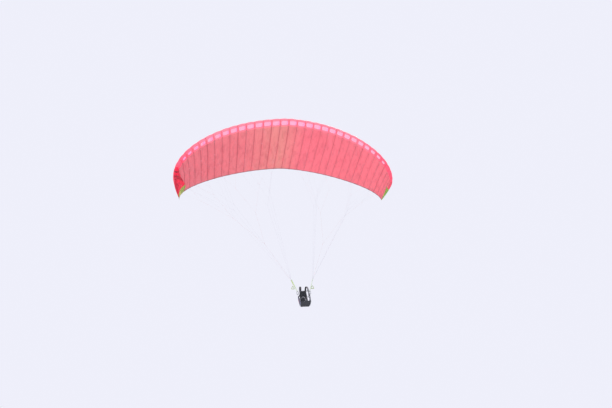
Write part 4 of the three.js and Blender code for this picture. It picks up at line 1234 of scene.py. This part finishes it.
def riser_strap(start, top, along, material):
    """One strap: plies that open into a loop round the maillon's lower bar, with stitched boxes"""
    normal = unit(np.cross(along, X))
    across = np.cross(normal, along)
    closed_part = straight(start, top - along * RISER_OPENS, 10)
    body = swept(closed_part, flat_section(RISER_WIDE, RISER_THICK), material, across)
    bar = top + along * (TOUCH + LINK_ROD)
    bend_radius = LINK_ROD + TOUCH + LOOP_PLY / 2 + LIFT
    bend = arc(bar, normal * bend_radius, along * bend_radius, np.linspace(0, math.pi, 11))
    leg = [top + along * far + normal * out for far, out in LOOP_LEG]
    path = np.vstack([leg, bend, [p - 2 * normal * np.dot(p - top, normal) for p in leg[::-1]]])
    narrow = np.array([1, 1, 0.84] + [0.80] * 11 + [0.84, 1, 1])
    loop = swept(path, flat_section(RISER_WIDE * 0.96, LOOP_PLY), material, across,
                 grow=np.stack([narrow, np.ones_like(narrow)], -1))
    runs = []
    for way in (-1, 1):
        for place, (far, out) in zip((top, start), RISER_TACKS):
            middle = place + along * far + normal * out * way
            runs += box_tack(middle, along, across, RISER_TACK, RISER_WIDE * 0.62)
        runs += [(straight(start + along * 0.09, top - along * 0.08, 1) + across * RISER_WIDE * 0.36 * edge
                  + normal * (RISER_THICK / 2 + LIFT) * way, False) for edge in (-1, 1)]
    return [body, loop, stitches(runs)]


def bar_sleeve(bar, radius, width):
    """A turn of webbing round one of the carabiner's bars"""
    return swept(ring(bar, Y, Z, radius), flat_section(width, SLEEVE_THICK), BLACK_WEB, X, closed=True)


def build_maillon(centre, along, across):
    """An oval link with its screwed nut"""
    oval = round_section(LINK_HALF, 36, LINK_NARROW, LINK_SQUARE)
    wire = swept([centre + along * x + across * y for x, y in oval], round_section(LINK_ROD, 10), STEEL,
                 np.cross(along, across), closed=True)
    side = centre + across * LINK_HALF * LINK_NARROW
    nut = barrel(side - along * NUT_HALF, side + along * NUT_HALF, NUT_RADIUS, STEEL, 6)
    collars = [barrel(side + along * z, side + along * (z + COLLAR_LONG), COLLAR_RADIUS, STEEL, 14, 0.0003)
               for z in COLLARS_AT]
    return [wire, nut, *collars]


def build_pulley(place, riser_point):
    """A brake pulley: a grooved wheel between two cheeks, hung on a short strap"""
    wheel = creased(swept(ring(place, Y, Z, WHEEL_RADIUS, 28), GROOVE, PULLEY_WHEEL, X, closed=True))
    cheeks = [barrel(place + X * x, place + X * (x + CHEEK_THICK), PULLEY_RADIUS - TOUCH, BLACK_PLASTIC, 28,
                     0.0004) for x in (-PULLEY_THICK / 2, PULLEY_THICK / 2 - CHEEK_THICK)]
    axle_end = X * (PULLEY_THICK / 2 + TOUCH)
    axle = barrel(place - axle_end, place + axle_end, AXLE_RADIUS, STEEL, 16, 0.0005)
    bush = swept(ring(place, Y, Z, BUSH_RADIUS, 20), flat_section(0.0056, 0.0012), STEEL, X, closed=True)
    hung_by = straight(riser_point, towards(place, riser_point, 0.004), 4)
    strap = swept(hung_by, flat_section(PULLEY_THICK * 0.62, 0.0022), BLACK_WEB, X)
    return [weld(wheel, outwards=True), *cheeks, axle, bush, strap]


def build_toggle(knot):
    """A soft brake handle: a padded loop of webbing, its seam, and the tab that takes the cord"""
    outline = [*TOGGLE_HALF, *((-x, z) for x, z in TOGGLE_HALF[::-1])]
    path = chaikin(np.array([knot + X * x + Z * z for x, z in outline[-1:] + outline[:-1]]))
    round_path = np.vstack([path, path[:1]])
    low = (knot[2] - round_path[:, 2]) / TOGGLE_LONG
    thick = np.where(low > GRIP_FOOT, FOOT_THICK, LEG_THIN)
    grip = swept(path, round_section(GRIP_RADIUS, 16, GRIP_FLAT, GRIP_SQUARE), TOGGLE_CLOTH, Y, closed=True,
                 grow=np.stack([np.ones_like(low), thick], -1))
    head_path = straight(knot - Z * HEAD_FROM, knot - Z * HEAD_TO, 5)
    head = swept(head_path, flat_section(*HEAD_SIZE), TOGGLE_CLOTH, X, grow=TOGGLE_HEAD)
    _, side, over = (axis[:-1] for axis in path_frame(round_path, Y, True))
    rows = [(path + side * out + over * up, True) for out, up in TOGGLE_SEAMS]
    snap_at = knot - Z * SNAP_DOWN
    snap = barrel(snap_at - Y * SNAP_FACE, snap_at - Y * SNAP_FOOT, SNAP_RADIUS, BUCKLE_METAL, 20)
    ferrule = barrel(knot + Z * 2 * LIFT, knot - Z * FERRULE_LONG, FERRULE_RADIUS, BLACK_PLASTIC, 14)
    return [grip, head, stitches(rows), snap, ferrule]


def build_carabiner(side):
    """A locking carabiner: the forged body, its gate and the turning sleeve with its grip rings"""
    middle = X * side * CARABINER_X + Z * (HINGE_Z + CARABINER_TALL / 2)
    bar = [middle + X * x + Z * z for x, z in rounded(CARABINER_WIDE, CARABINER_TALL, CARABINER_CORNER, 7)]

    def at(z):
        return X * side * (CARABINER_X - CARABINER_WIDE / 2) + Z * (HINGE_Z + z)

    def hoop(z, radius, material):
        return swept(ring(at(z), X, Y, radius), round_section(RING_ROD, 6), material, Z, closed=True)

    def tube(size, material, sides):
        start, end, radius, chamfer = size
        return barrel(at(start), at(end), radius, material, sides, chamfer)

    pin, half_pin = at(GATE_PIN_AT), Y * GATE_PIN_HALF
    return [swept(bar, round_section(CARABINER_ROD, 14, 0.92), ALLOY, Y, closed=True),
            tube(GATE_SLEEVE, BLACK_PLASTIC, 24),
            *(hoop(z, GRIP_RING_RADIUS, BLACK_PLASTIC) for z in GRIP_RINGS),
            tube(GATE_NOSE, ALLOY, 20),
            barrel(pin - half_pin, pin + half_pin, GATE_PIN_RADIUS, STEEL, 14, 0.0005),
            hoop(GATE_RING_AT, GATE_RING_RADIUS, STEEL)]


def build_rigging(side, label):
    """The lines, risers and brake of one side. Gives back its lines."""
    foot = X * side * CARABINER_X + Z * (HINGE_Z + CARABINER_TALL)
    risers, every_line = [], []
    for row, (name, share) in enumerate(ROWS):
        top = towards(foot, held_middle(MAIN_GROUPS, share, side), RISER_LONG)
        along = unit(top - foot)
        start = foot + along * (CARABINER_ROD + 0.0015) + Y * (row - 1) * RISER_THICK * RISER_FAN
        risers += riser_strap(start, top, unit(top - start), RISER_CLOTHS[name])
        maillon = build_maillon(top + along * (LINK_ROD + TOUCH + LINK_HALF), along, unit(np.cross(Y, along)))
        keep(maillon, f"maillon_{name}_{label}", "wing", "steel", f"link_{name}_{label}")
        root = top + along * (2 * (LINK_HALF + LINK_ROD + TOUCH) - 0.002)
        lines = line_tree(root, MAIN_GROUPS, share, side, extra=(TIP_RIB,) if name == "b" else ())
        keep(build_lines(lines, LINE_SHEATH), f"{name}_lines_{label}", "wing", "line",
             f"lines_{name}_{label}")
        every_line += lines
    sleeve = bar_sleeve(foot, CARABINER_ROD + TOUCH + SLEEVE_THICK / 2, SLEEVE_WIDE)
    keep([sleeve, *risers], f"riser_set_{label}", "wing", "riser", f"risers_{label}")

    on_strap = towards(top, start, PULLEY_DOWN)
    place = on_strap + Y * PULLEY_BACK
    pulley = build_pulley(place, on_strap + Y * (RISER_THICK / 2 + 2 * TOUCH))
    keep(pulley, f"brake_pulley_{label}", "wing", "pulley", f"pulley_{label}")
    above, below = place + Z * (PULLEY_RADIUS + TOUCH), place - Z * (PULLEY_RADIUS + TOUCH)
    lines = line_tree(above, BRAKE_GROUPS, BRAKE_AT, side, trunk=BRAKE_TRUNK)
    tree = build_lines(lines, BRAKE_SHEATH)
    onto_wheel = straight(above + Z * LEAD_UP, place + Z * LEAD_END + Y * WHEEL_RADIUS, 4)
    lead = rope([(onto_wheel, False)], MAIN_LINE, BRAKE_SHEATH)
    keep([tree, lead], f"brake_fan_{label}", "wing", "brake_line", f"brake_lines_{label}")
    knot = below - Z * BRAKE_DROP
    cord = rope([(straight(below, knot, 24), False)], BRAKE_CORD, BRAKE_SHEATH, 8)
    keep(cord, f"brake_pull_{label}", None, "brake_line", f"brake_cord_{label}")
    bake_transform(cord)
    keep(build_toggle(knot), f"brake_toggle_{label}", f"toggle_{label}", "toggle", f"toggle_{label}")
    keep(build_carabiner(side), f"main_carabiner_{label}", "wing", "alloy", f"carabiner_{label}")
    return every_line + lines


# Harness: seat and back

SEAT_HALF, SEAT_FRONT, SEAT_BACK, SEAT_Z, SEAT_THICK, SEAT_RISE = 0.165, -0.292, 0.052, -0.432, 0.034, 0.09
SEAT_CHANNELS, SEAT_INSET = (-0.205, -0.120, -0.035), 0.004
BACK_HALF, BACK_TOP_HALF, BACK_FOOT, BACK_HEAD, BACK_THICK = 0.158, 0.126, -0.438, (0.181, 0.196), 0.027
BACK_CHANNELS, BACK_INSET = (0.14, 0.28, 0.42, 0.54), 0.003
PAD_VOXEL, PAD_SWELL, PAD_PRESSURE, PAD_FRAMES = 0.0055, 0.007, 4.0, 20
CHANNEL_DEEP, CHANNEL_WIDE = 0.0035, 0.006
PIPING, RIM_CUT, RIM_STEP, RIM_SEAM = 0.0024, 0.022, 0.006, 0.016


def pad_block(outline, foot_half, head_half, inset):
    """A plate across the harness, a little smaller than its place: outline gives Y and Z, from the foot up"""
    low, high = min(z for _, z in outline), max(z for _, z in outline)
    middle = np.mean(outline, axis=0)
    points = []
    for side in (-1, 1):
        for y, z in outline:
            half = foot_half + (head_half - foot_half) * (z - low) / (high - low) - inset
            y, z = np.array((y, z)) + unit(middle - (y, z)) * inset
            points.append((side * half, y, z))
    return mesh_piece(points, tube_faces(2, len(outline)), [PAD_CLOTH])


def points_of(thing):
    return np.array([v.co for v in thing.data.vertices])


def move_points(thing, points):
    thing.data.vertices.foreach_set("co", points.ravel())
    thing.data.update()


def padded_form(block, channels):
    """A padded piece: swollen by cloth simulation within a cap, then its sewn channels pressed in"""
    thing = weld(block, outwards=True)
    modify(thing, "REMESH", mode="VOXEL", voxel_size=PAD_VOXEL, use_smooth_shade=True)
    modify(thing, "SMOOTH", iterations=14, factor=0.6)
    start = points_of(thing)
    cloth = thing.modifiers.new("cloth", "CLOTH")
    cloth.settings.use_pressure = True
    cloth.settings.uniform_pressure_force = PAD_PRESSURE
    cloth.settings.effector_weights.gravity = 0.0
    for moment in range(1, PAD_FRAMES + 1):
        scene.frame_set(moment)
    finish_modifiers(thing)
    scene.frame_set(1)
    move = points_of(thing) - start
    far = np.linalg.norm(move, axis=1, keepdims=True)
    move_points(thing, start + move * np.minimum(1, PAD_SWELL / np.maximum(far, 1e-9)))
    modify(thing, "SMOOTH", iterations=3, factor=0.5)
    modify(thing, "SUBSURF", levels=1, render_levels=1)
    points = points_of(thing)
    normals = np.array([v.normal for v in thing.data.vertices])
    for origin, across in channels:
        away = (points - origin) @ across
        points = points - normals * (CHANNEL_DEEP * np.exp(-(away / CHANNEL_WIDE) ** 2))[:, None]
    move_points(thing, points)
    thing.data.shade_smooth()
    return thing


def rim_run(corners):
    """A closed run round a plate's face, with its corners cut round"""
    out = []
    for before, at, after in zip(np.roll(corners, 1, 0), corners, np.roll(corners, -1, 0)):
        a, b = towards(at, before, RIM_CUT), towards(at, after, RIM_CUT)
        out.extend((1 - t) ** 2 * a + 2 * t * (1 - t) * at + t * t * b for t in np.linspace(0, 1, 6))
        gap = np.linalg.norm(after - at) - 2 * RIM_CUT
        between = np.linspace(0, gap, max(2, int(gap / RIM_STEP)))[1:-1]
        out.extend(b + unit(after - at) * far for far in between)
    return np.array(out)


def laid_on(runs, pad, out):
    """Closed runs brought onto a pad's finished surface, and evened out"""
    mesh = pad.data
    tree = BVHTree.FromPolygons([v.co for v in mesh.vertices], [p.vertices for p in mesh.polygons])
    laid = []
    for run in runs:
        found = [tree.find_nearest(Vector(p)) for p in run]
        points = np.array([place + normal * out for place, normal, _, _ in found])
        for _ in range(2):
            points = (np.roll(points, 1, 0) + 2 * points + np.roll(points, -1, 0)) / 4
        laid.append((points, True))
    return laid


def build_pad(label, shape, halves, inset, channels):
    """A pad with piping round both its faces and a row of stitches inside that"""
    pad = padded_form(pad_block(shape, *halves, inset), channels)
    keep(pad, f"{label}_pad", "harness", "pad", f"harness_{label}")
    foot, head = halves
    rims = []
    for low, high in ((shape[0], shape[3]), (shape[1], shape[2])):
        rims.append(rim_run(np.array([(-foot, *low), (foot, *low), (head, *high), (-head, *high)])))
    rows = [rim + unit(rim.mean(axis=0) - rim) * RIM_SEAM for rim in rims]
    cords = rope(laid_on(rims, pad, PIPING * 0.3), PIPING, BLACK_WEB, 8)
    keep([cords, stitches(laid_on(rows, pad, TOUCH))], f"{label}_piping", "harness", "pad")


def build_seat_and_back():
    z = HINGE_Z + SEAT_Z
    front = z + SEAT_RISE * (SEAT_BACK - SEAT_FRONT)
    shape = [(SEAT_FRONT, front), (SEAT_FRONT, front + SEAT_THICK),
             (SEAT_BACK, z + SEAT_THICK), (SEAT_BACK, z)]
    channels = [(Y * y + Z * (z + SEAT_THICK / 2), unit((0, 1, -SEAT_RISE))) for y in SEAT_CHANNELS]
    build_pad("seat", shape, (SEAT_HALF, SEAT_HALF), SEAT_INSET, channels)

    y, z, (head_y, head_z) = SEAT_BACK + TOUCH, HINGE_Z + BACK_FOOT, BACK_HEAD
    shape = [(y, z), (y + BACK_THICK, z), (head_y, HINGE_Z + head_z), (head_y - BACK_THICK, HINGE_Z + head_z)]
    lean = unit((0, head_y - BACK_THICK / 2 - SEAT_BACK, head_z - BACK_FOOT))
    foot = Y * (SEAT_BACK + BACK_THICK / 2) + Z * z
    channels = [(foot + lean * far, lean) for far in BACK_CHANNELS]
    build_pad("back", shape, (BACK_HALF, BACK_TOP_HALF), BACK_INSET, channels)


# Harness: sides, straps and buckles

HIP_THICK, HIP_LEAN = 0.004, 0.105
HIP_OUTLINE = [(-0.236, -0.405), (0.040, -0.431), (0.096, -0.330), (0.138, -0.096), (0.026, -0.060),
               (-0.044, -0.064)]
HIP_SEAM, HIP_BINDING = 0.955, 0.0026
ACCENT_OUTLINE, ACCENT_THICK = [(0.066, -0.300), (0.088, -0.318), (0.122, -0.122), (0.098, -0.116)], 0.0012
PANEL_RINGS = ((1.0, 0.35), (0.985, 0.8), (0.95, 1.0), (0.8, 1.0), (0.55, 1.0), (0.3, 1.0), (0.1, 1.0))
ZIP_ENDS, ZIP_TAPE = ((-0.150, -0.330), (-0.072, -0.200)), (0.016, 0.0010)
ZIP_OUT, ZIP_TEETH = 0.0006, (0.0026, 0.0016, 0.0016)  # the teeth: from one to the next, length, thickness
WEB_WIDE, WEB_THICK, WEB_TOP, WEB_FEET = 0.026, 0.003, (0.0, -0.044), ((-0.203, -0.384), (0.047, -0.405))
WEB_TACK, NECK_OVERLAP, NECK_THICK = 0.034, 0.008, 0.0026
SHOULDER_WIDE, SHOULDER_THICK, SHOULDER_BINDING = 0.052, 0.009, 0.0022
# the shoulder pad's width at its foot, its bulge, where that ends, and the most it may be, as shares
SHOULDER_FOOT, SHOULDER_BULGE, BULGE_END, SHOULDER_MOST = 0.86, 0.22, 1 / 1.15, 1.04
THIN_ENDS, ENDS_THICK = 0.03, 0.6
SHOULDER_WEB = (0.024, 0.0020)
WEB_ROW, PAD_ROW = (0.009, 0.0011), (0.0215, 0.0030)  # rows of stitches: how far across, how far out
SHOULDER_PATH = [(0.098, 0.166, 0.1988), (0.100, 0.132, 0.262), (0.104, 0.050, 0.292),
                 (0.112, -0.052, 0.262), (0.124, -0.130, 0.160), (0.138, -0.158, 0.040),
                 (0.154, -0.118, -0.052), (0.1748, -0.024, -0.092)]
SHOULDER_ROOT = (0.098, 0.168, 0.1768)
SHOULDER_TAIL, TAIL_INSIDE = ((-0.016, -0.112), (-0.012, -0.150), (-0.010, -0.178)), -0.0018
TAIL_TACK, TAIL_TACK_IN = (0.022, 0.015), 0.0013
LEG_WIDE, LEG_THICK, LEG_TACK, LEG_BUCKLE = 0.038, 0.004, 0.022, (0.044, 0.030, 0.012)
# the leg buckle's frame, bars and plate, as shares of its own size where they aren't lengths
BUCKLE_RING, BUCKLE_RIM, BUCKLE_TALL = (0.43, 0.40), 0.0060, 0.55
BUCKLE_BARS, BUCKLE_BAR_HALF, BUCKLE_BAR_RADIUS = (-0.0095, 0.0, 0.0095), 0.42, 0.0022
BUCKLE_PLATE, BUCKLE_PLATE_UP, BUCKLE_BEVEL = (0.62, 0.50, 0.25), 0.0022, 0.0009
BUCKLE_BUTTON = (0.004, 0.0030, 0.0058, 0.0046)  # how far out, from, to, radius
LEG_PATH = [(0.018, -0.272, -0.3676), (0.026, -0.268, -0.300), (0.052, -0.256, -0.232),
            (0.092, -0.240, -0.216), (0.132, -0.222, -0.232), (0.158, -0.196, -0.254),
            (0.1762, -0.172, -0.290), (0.1756, -0.172, -0.314)]
CHEST_WIDE, CHEST_THICK, CHEST_CLEAR, CHEST_BUCKLE = 0.024, 0.0024, 0.0006, (0.030, 0.009, 0.034)
CHEST_SLIDE, CHEST_SLIDE_X, CHEST_SLIDE_OUT = (0.010, 0.0024, 0.031), 0.062, 0.0026
# the chest buckle's body and tongue: how far along the strap, their share of its size, their bevel
CHEST_BLOCKS = ((-0.003, (0.72, 1, 1), 0.0022), (0.0085, (0.42, 0.72, 0.86), 0.0016))
PRONG_SHARE, PRONG_TALL, PRONG_UP, PRONG_BACK = (0.40, 0.6), 0.0042, 0.46, 0.001
CHEST_TACK, CHEST_TACK_IN = 0.028, 0.020


def on_hip(points, out, side):
    """Points given as y and z in the hip's leaning plane, moved out from it"""
    points = np.asarray(points, float)
    x = SEAT_HALF + TOUCH + HIP_LEAN * (points[:, 1] - SEAT_Z) + out
    return np.stack([side * x, points[:, 0], HINGE_Z + points[:, 1]], -1)


def hip_strap(path, section, side):
    """A strap laid in the hip's plane, its way across and the plane's normal"""
    normal = unit(np.cross((side * HIP_LEAN, 0, 1), Y)) * side
    across = np.cross(unit(path[-1] - path[0]), normal)
    return swept(path, flat_section(*section), BLACK_WEB, across), across, normal


def panel(outline, out, thick, material, side):
    """A soft panel in the hip's plane with a thin rim, and that rim"""
    rim = chaikin(np.array(outline))
    centre = rim.mean(axis=0)
    outer, inner = ([on_hip(centre + (rim - centre) * share, out + thick * (0.5 + way * 0.5 * height), side)
                     for share, height in PANEL_RINGS] for way in (1, -1))
    rings = outer[::-1] + inner
    cloth = mesh_piece(np.concatenate(rings), tube_faces(len(rings), len(rim)), [material])
    return weld(cloth, outwards=True), rim


def build_hip(side, label):
    hip, rim = panel(HIP_OUTLINE, 0.0, HIP_THICK, HIP_CLOTH, side)
    binding = rope([(on_hip(rim, HIP_THICK / 2, side), True)], HIP_BINDING, BLACK_WEB, 8)
    accent, _ = panel(ACCENT_OUTLINE, HIP_THICK, ACCENT_THICK, RED_TRIM, side)
    zip_path = on_hip(straight(*ZIP_ENDS, 10), HIP_THICK + ZIP_OUT, side)
    teeth = stitches([(zip_path, False)], BLACK_PLASTIC, *ZIP_TEETH)
    tape, _, _ = hip_strap(zip_path, ZIP_TAPE, side)
    middle = rim.mean(axis=0)
    seam = stitches([(on_hip(middle + (rim - middle) * HIP_SEAM, HIP_THICK + 2 * LIFT, side), True)])
    keep(hip, f"hip_panel_{label}", "harness", "hip", f"hip_{label}")
    keep([binding, accent, teeth, tape, seam], f"hip_trim_{label}", "harness", "hip")


def build_webbing(side, label):
    """The webbing from the carabiner down to both corners of the seat"""
    out = HIP_THICK + TOUCH + WEB_THICK / 2
    straps, sewn = [], []
    for k, foot in enumerate(WEB_FEET):
        path = on_hip(straight(WEB_TOP, foot, 8), out + 2 * LIFT * k, side)
        strap, across, normal = hip_strap(path, (WEB_WIDE, WEB_THICK), side)
        straps.append(strap)
        face = normal * (WEB_THICK / 2 + TOUCH)
        sewn += [(path + across * WEB_WIDE * 0.38 * way + face, False) for way in (-1, 1)]
        for end in (-2, 2):
            sewn += box_tack(path[end] + face, unit(path[-1] - path[0]), across, WEB_TACK, WEB_WIDE * 0.6)
    bar = X * side * CARABINER_X + Z * HINGE_Z
    radius = CARABINER_ROD + TOUCH + SLEEVE_THICK / 2 + LIFT
    sleeve = bar_sleeve(bar, radius, WEB_WIDE)
    start = bar - Z * (radius - 0.0004)
    top, under = on_hip([WEB_TOP, (WEB_TOP[0], WEB_TOP[1] - NECK_OVERLAP)], out, side)
    neck_path = smooth_path([start, start * 0.45 + top * 0.55 + Z * 0.001, top, under], 5)
    neck = swept(neck_path, flat_section(WEB_WIDE * 0.8, NECK_THICK), BLACK_WEB, Y)
    keep([*straps, sleeve, neck, stitches(sewn)], f"main_webbing_{label}", "harness", "web",
         f"main_web_{label}")


def build_shoulder(side, label):
    path = smooth_path(np.array([SHOULDER_ROOT, *SHOULDER_PATH]) * (side, 1, 1) + Z * HINGE_Z, 10)
    ends = np.linspace(0, 1, len(path))
    wide = SHOULDER_FOOT + SHOULDER_BULGE * np.sin(math.pi * np.clip(ends / BULGE_END, 0, 1))
    capped = np.minimum(wide, SHOULDER_MOST)
    thick = np.where((ends < THIN_ENDS) | (ends > 1 - THIN_ENDS), ENDS_THICK, 1.0)
    section = round_section(SHOULDER_WIDE / 2, 28, SHOULDER_THICK / SHOULDER_WIDE, 0.55)
    strap = swept(path, section, PAD_CLOTH, X * side, grow=np.stack([capped, thick], -1))
    _, across, over = path_frame(path, X * side)
    edges = [(path + across * (SHOULDER_WIDE / 2 * capped * way)[:, None], False) for way in (-1, 1)]
    binding = rope(edges, SHOULDER_BINDING, BLACK_WEB, 8)
    web_path = path + over * (SHOULDER_THICK / 2 + 0.0004)
    web = swept(web_path, flat_section(*SHOULDER_WEB), GREY_WEB, X * side)
    rows = [(web_path + across * WEB_ROW[0] * way + over * WEB_ROW[1], False) for way in (-1, 1)]
    rows += [(path + across * (PAD_ROW[0] * wide)[:, None] * way - over * PAD_ROW[1], False)
             for way in (-1, 1)]
    keep(strap, f"shoulder_pad_{label}", "harness", "pad", f"shoulder_strap_{label}")
    hip_at = on_hip(SHOULDER_TAIL, TAIL_INSIDE, side)
    tail_path = smooth_path([web_path[-6], web_path[-1], *hip_at], 6)
    twist = np.clip((np.arange(len(tail_path)) - 5) / 9, 0, 1)[:, None]
    tail = swept(tail_path, flat_section(*SHOULDER_WEB), GREY_WEB, (1 - twist) * X * side + twist * Y)
    rows += box_tack((hip_at[1] + hip_at[2]) / 2 - X * side * TAIL_TACK_IN, -Z, Y, *TAIL_TACK)
    keep([binding, web, tail, stitches(rows)], f"shoulder_trim_{label}", "harness", "pad")


def build_leg(side, label):
    path = smooth_path(np.array(LEG_PATH) * (side, 1, 1) + Z * HINGE_Z, 10)
    leg = swept(path, flat_section(LEG_WIDE, LEG_THICK), GREY_WEB, Y * side)
    rows = edge_rows(path, Y * side, LEG_WIDE * 0.42, LEG_THICK / 2 + LIFT)
    ahead, across, over = path_frame(path, Y * side)
    for k in (4, -5):
        for way in (-1, 1):
            middle = path[k] + over[k] * way * (LEG_THICK / 2 + 2 * LIFT)
            rows += box_tack(middle, ahead[k], across[k], LEG_TACK, LEG_WIDE * 0.66)
    keep([leg, stitches(rows)], f"leg_strap_set_{label}", "harness", "web", f"leg_strap_{label}")
    x, y, z = LEG_PATH[3]
    middle = np.array((side * x, y, HINGE_Z + z + LEG_THICK / 2 + TOUCH + LEG_BUCKLE[2] / 2))
    keep(leg_buckle(middle, side), f"leg_buckle_set_{label}", "harness", "buckle", f"leg_buckle_{label}")


def slab(middle, size, material, bevel):
    """A block with rounded edges"""
    corners = [middle + np.array((x, y, z)) * size / 2 for x in (-1, 1) for y in (-1, 1) for z in (-1, 1)]
    faces = [(0, 1, 3, 2), (4, 6, 7, 5), (0, 4, 5, 1), (2, 3, 7, 6), (0, 2, 6, 4), (1, 5, 7, 3)]
    thing = weld(mesh_piece(corners, faces, [material]), 1e-7, outwards=True)
    modify(thing, "BEVEL", width=bevel, segments=3, limit_method="NONE")
    thing.data.shade_smooth()
    return creased(thing, 0.7)


def leg_buckle(middle, side):
    """A quick buckle: an alloy frame round its bars, with a press button"""
    wide, deep, tall = LEG_BUCKLE
    corner_x, corner_y = X * wide * BUCKLE_RING[0], Y * deep * BUCKLE_RING[1]
    outline = chaikin(np.array([middle + corner_x * x + corner_y * y for x, y in CORNERS]))
    frame_ring = swept(outline, flat_section(BUCKLE_RIM, tall * BUCKLE_TALL), BUCKLE_METAL, Z, closed=True)
    half_bar = X * wide * BUCKLE_BAR_HALF
    bars = [barrel(middle + Y * y - half_bar, middle + Y * y + half_bar, BUCKLE_BAR_RADIUS, STEEL, 12)
            for y in BUCKLE_BARS]
    size = np.array(LEG_BUCKLE) * BUCKLE_PLATE
    plate = slab(middle + Z * BUCKLE_PLATE_UP, size, BUCKLE_METAL, BUCKLE_BEVEL)
    out, start, end, radius = BUCKLE_BUTTON
    button_at = middle + X * side * out
    button = barrel(button_at + Z * start, button_at + Z * end, radius, RED_PLASTIC, 24, 0.0007)
    return [frame_ring, *bars, plate, button]


def build_chest():
    x, y, z = SHOULDER_PATH[5]
    middle = np.array((0, y - SHOULDER_THICK / 2 - CHEST_THICK / 2 - CHEST_CLEAR, HINGE_Z + z))
    ends = middle - X * x, middle + X * x
    strap = swept(straight(*ends, 12), flat_section(CHEST_WIDE, CHEST_THICK), BLACK_WEB, Z)
    rows = edge_rows(straight(*ends, 2), Z, CHEST_WIDE * 0.40, CHEST_THICK / 2 + LIFT)
    for end, way in zip(ends, (1, -1)):
        tack_at = end + X * way * CHEST_TACK_IN - Y * (CHEST_THICK / 2 + 2 * LIFT)
        rows += box_tack(tack_at, X, Z, CHEST_TACK, CHEST_WIDE * 0.6)
    slides = [slab(middle + X * k * CHEST_SLIDE_X - Y * CHEST_SLIDE_OUT, np.array(CHEST_SLIDE),
                   BLACK_PLASTIC, 0.0008) for k in (-1, 1)]
    keep([strap, stitches(rows), *slides], "chest_strap_set", "harness", "web", "chest_strap")

    size = np.array(CHEST_BUCKLE)
    middle = middle - Y * (CHEST_THICK / 2 + TOUCH + size[1] / 2)
    blocks = [slab(middle + X * at, size * share, BLACK_PLASTIC, bevel) for at, share, bevel in CHEST_BLOCKS]
    prong = np.array((*size[:2] * PRONG_SHARE, PRONG_TALL))
    prongs = [slab(middle + Z * size[2] * PRONG_UP * k - X * PRONG_BACK, prong, RED_PLASTIC, 0.0012)
              for k in (-1, 1)]
    keep([*blocks, *prongs], "chest_buckle_set", "harness", "buckle", "chest_buckle")


# The whole wing and its harness

build_canopy()
build_hem()
build_inlet_rims()
build_tabs([line for side, label in SIDES for line in build_rigging(side, label)])
build_seat_and_back()
for side, label in SIDES:
    build_hip(side, label)
    build_webbing(side, label)
    build_shoulder(side, label)
    build_leg(side, label)
build_chest()
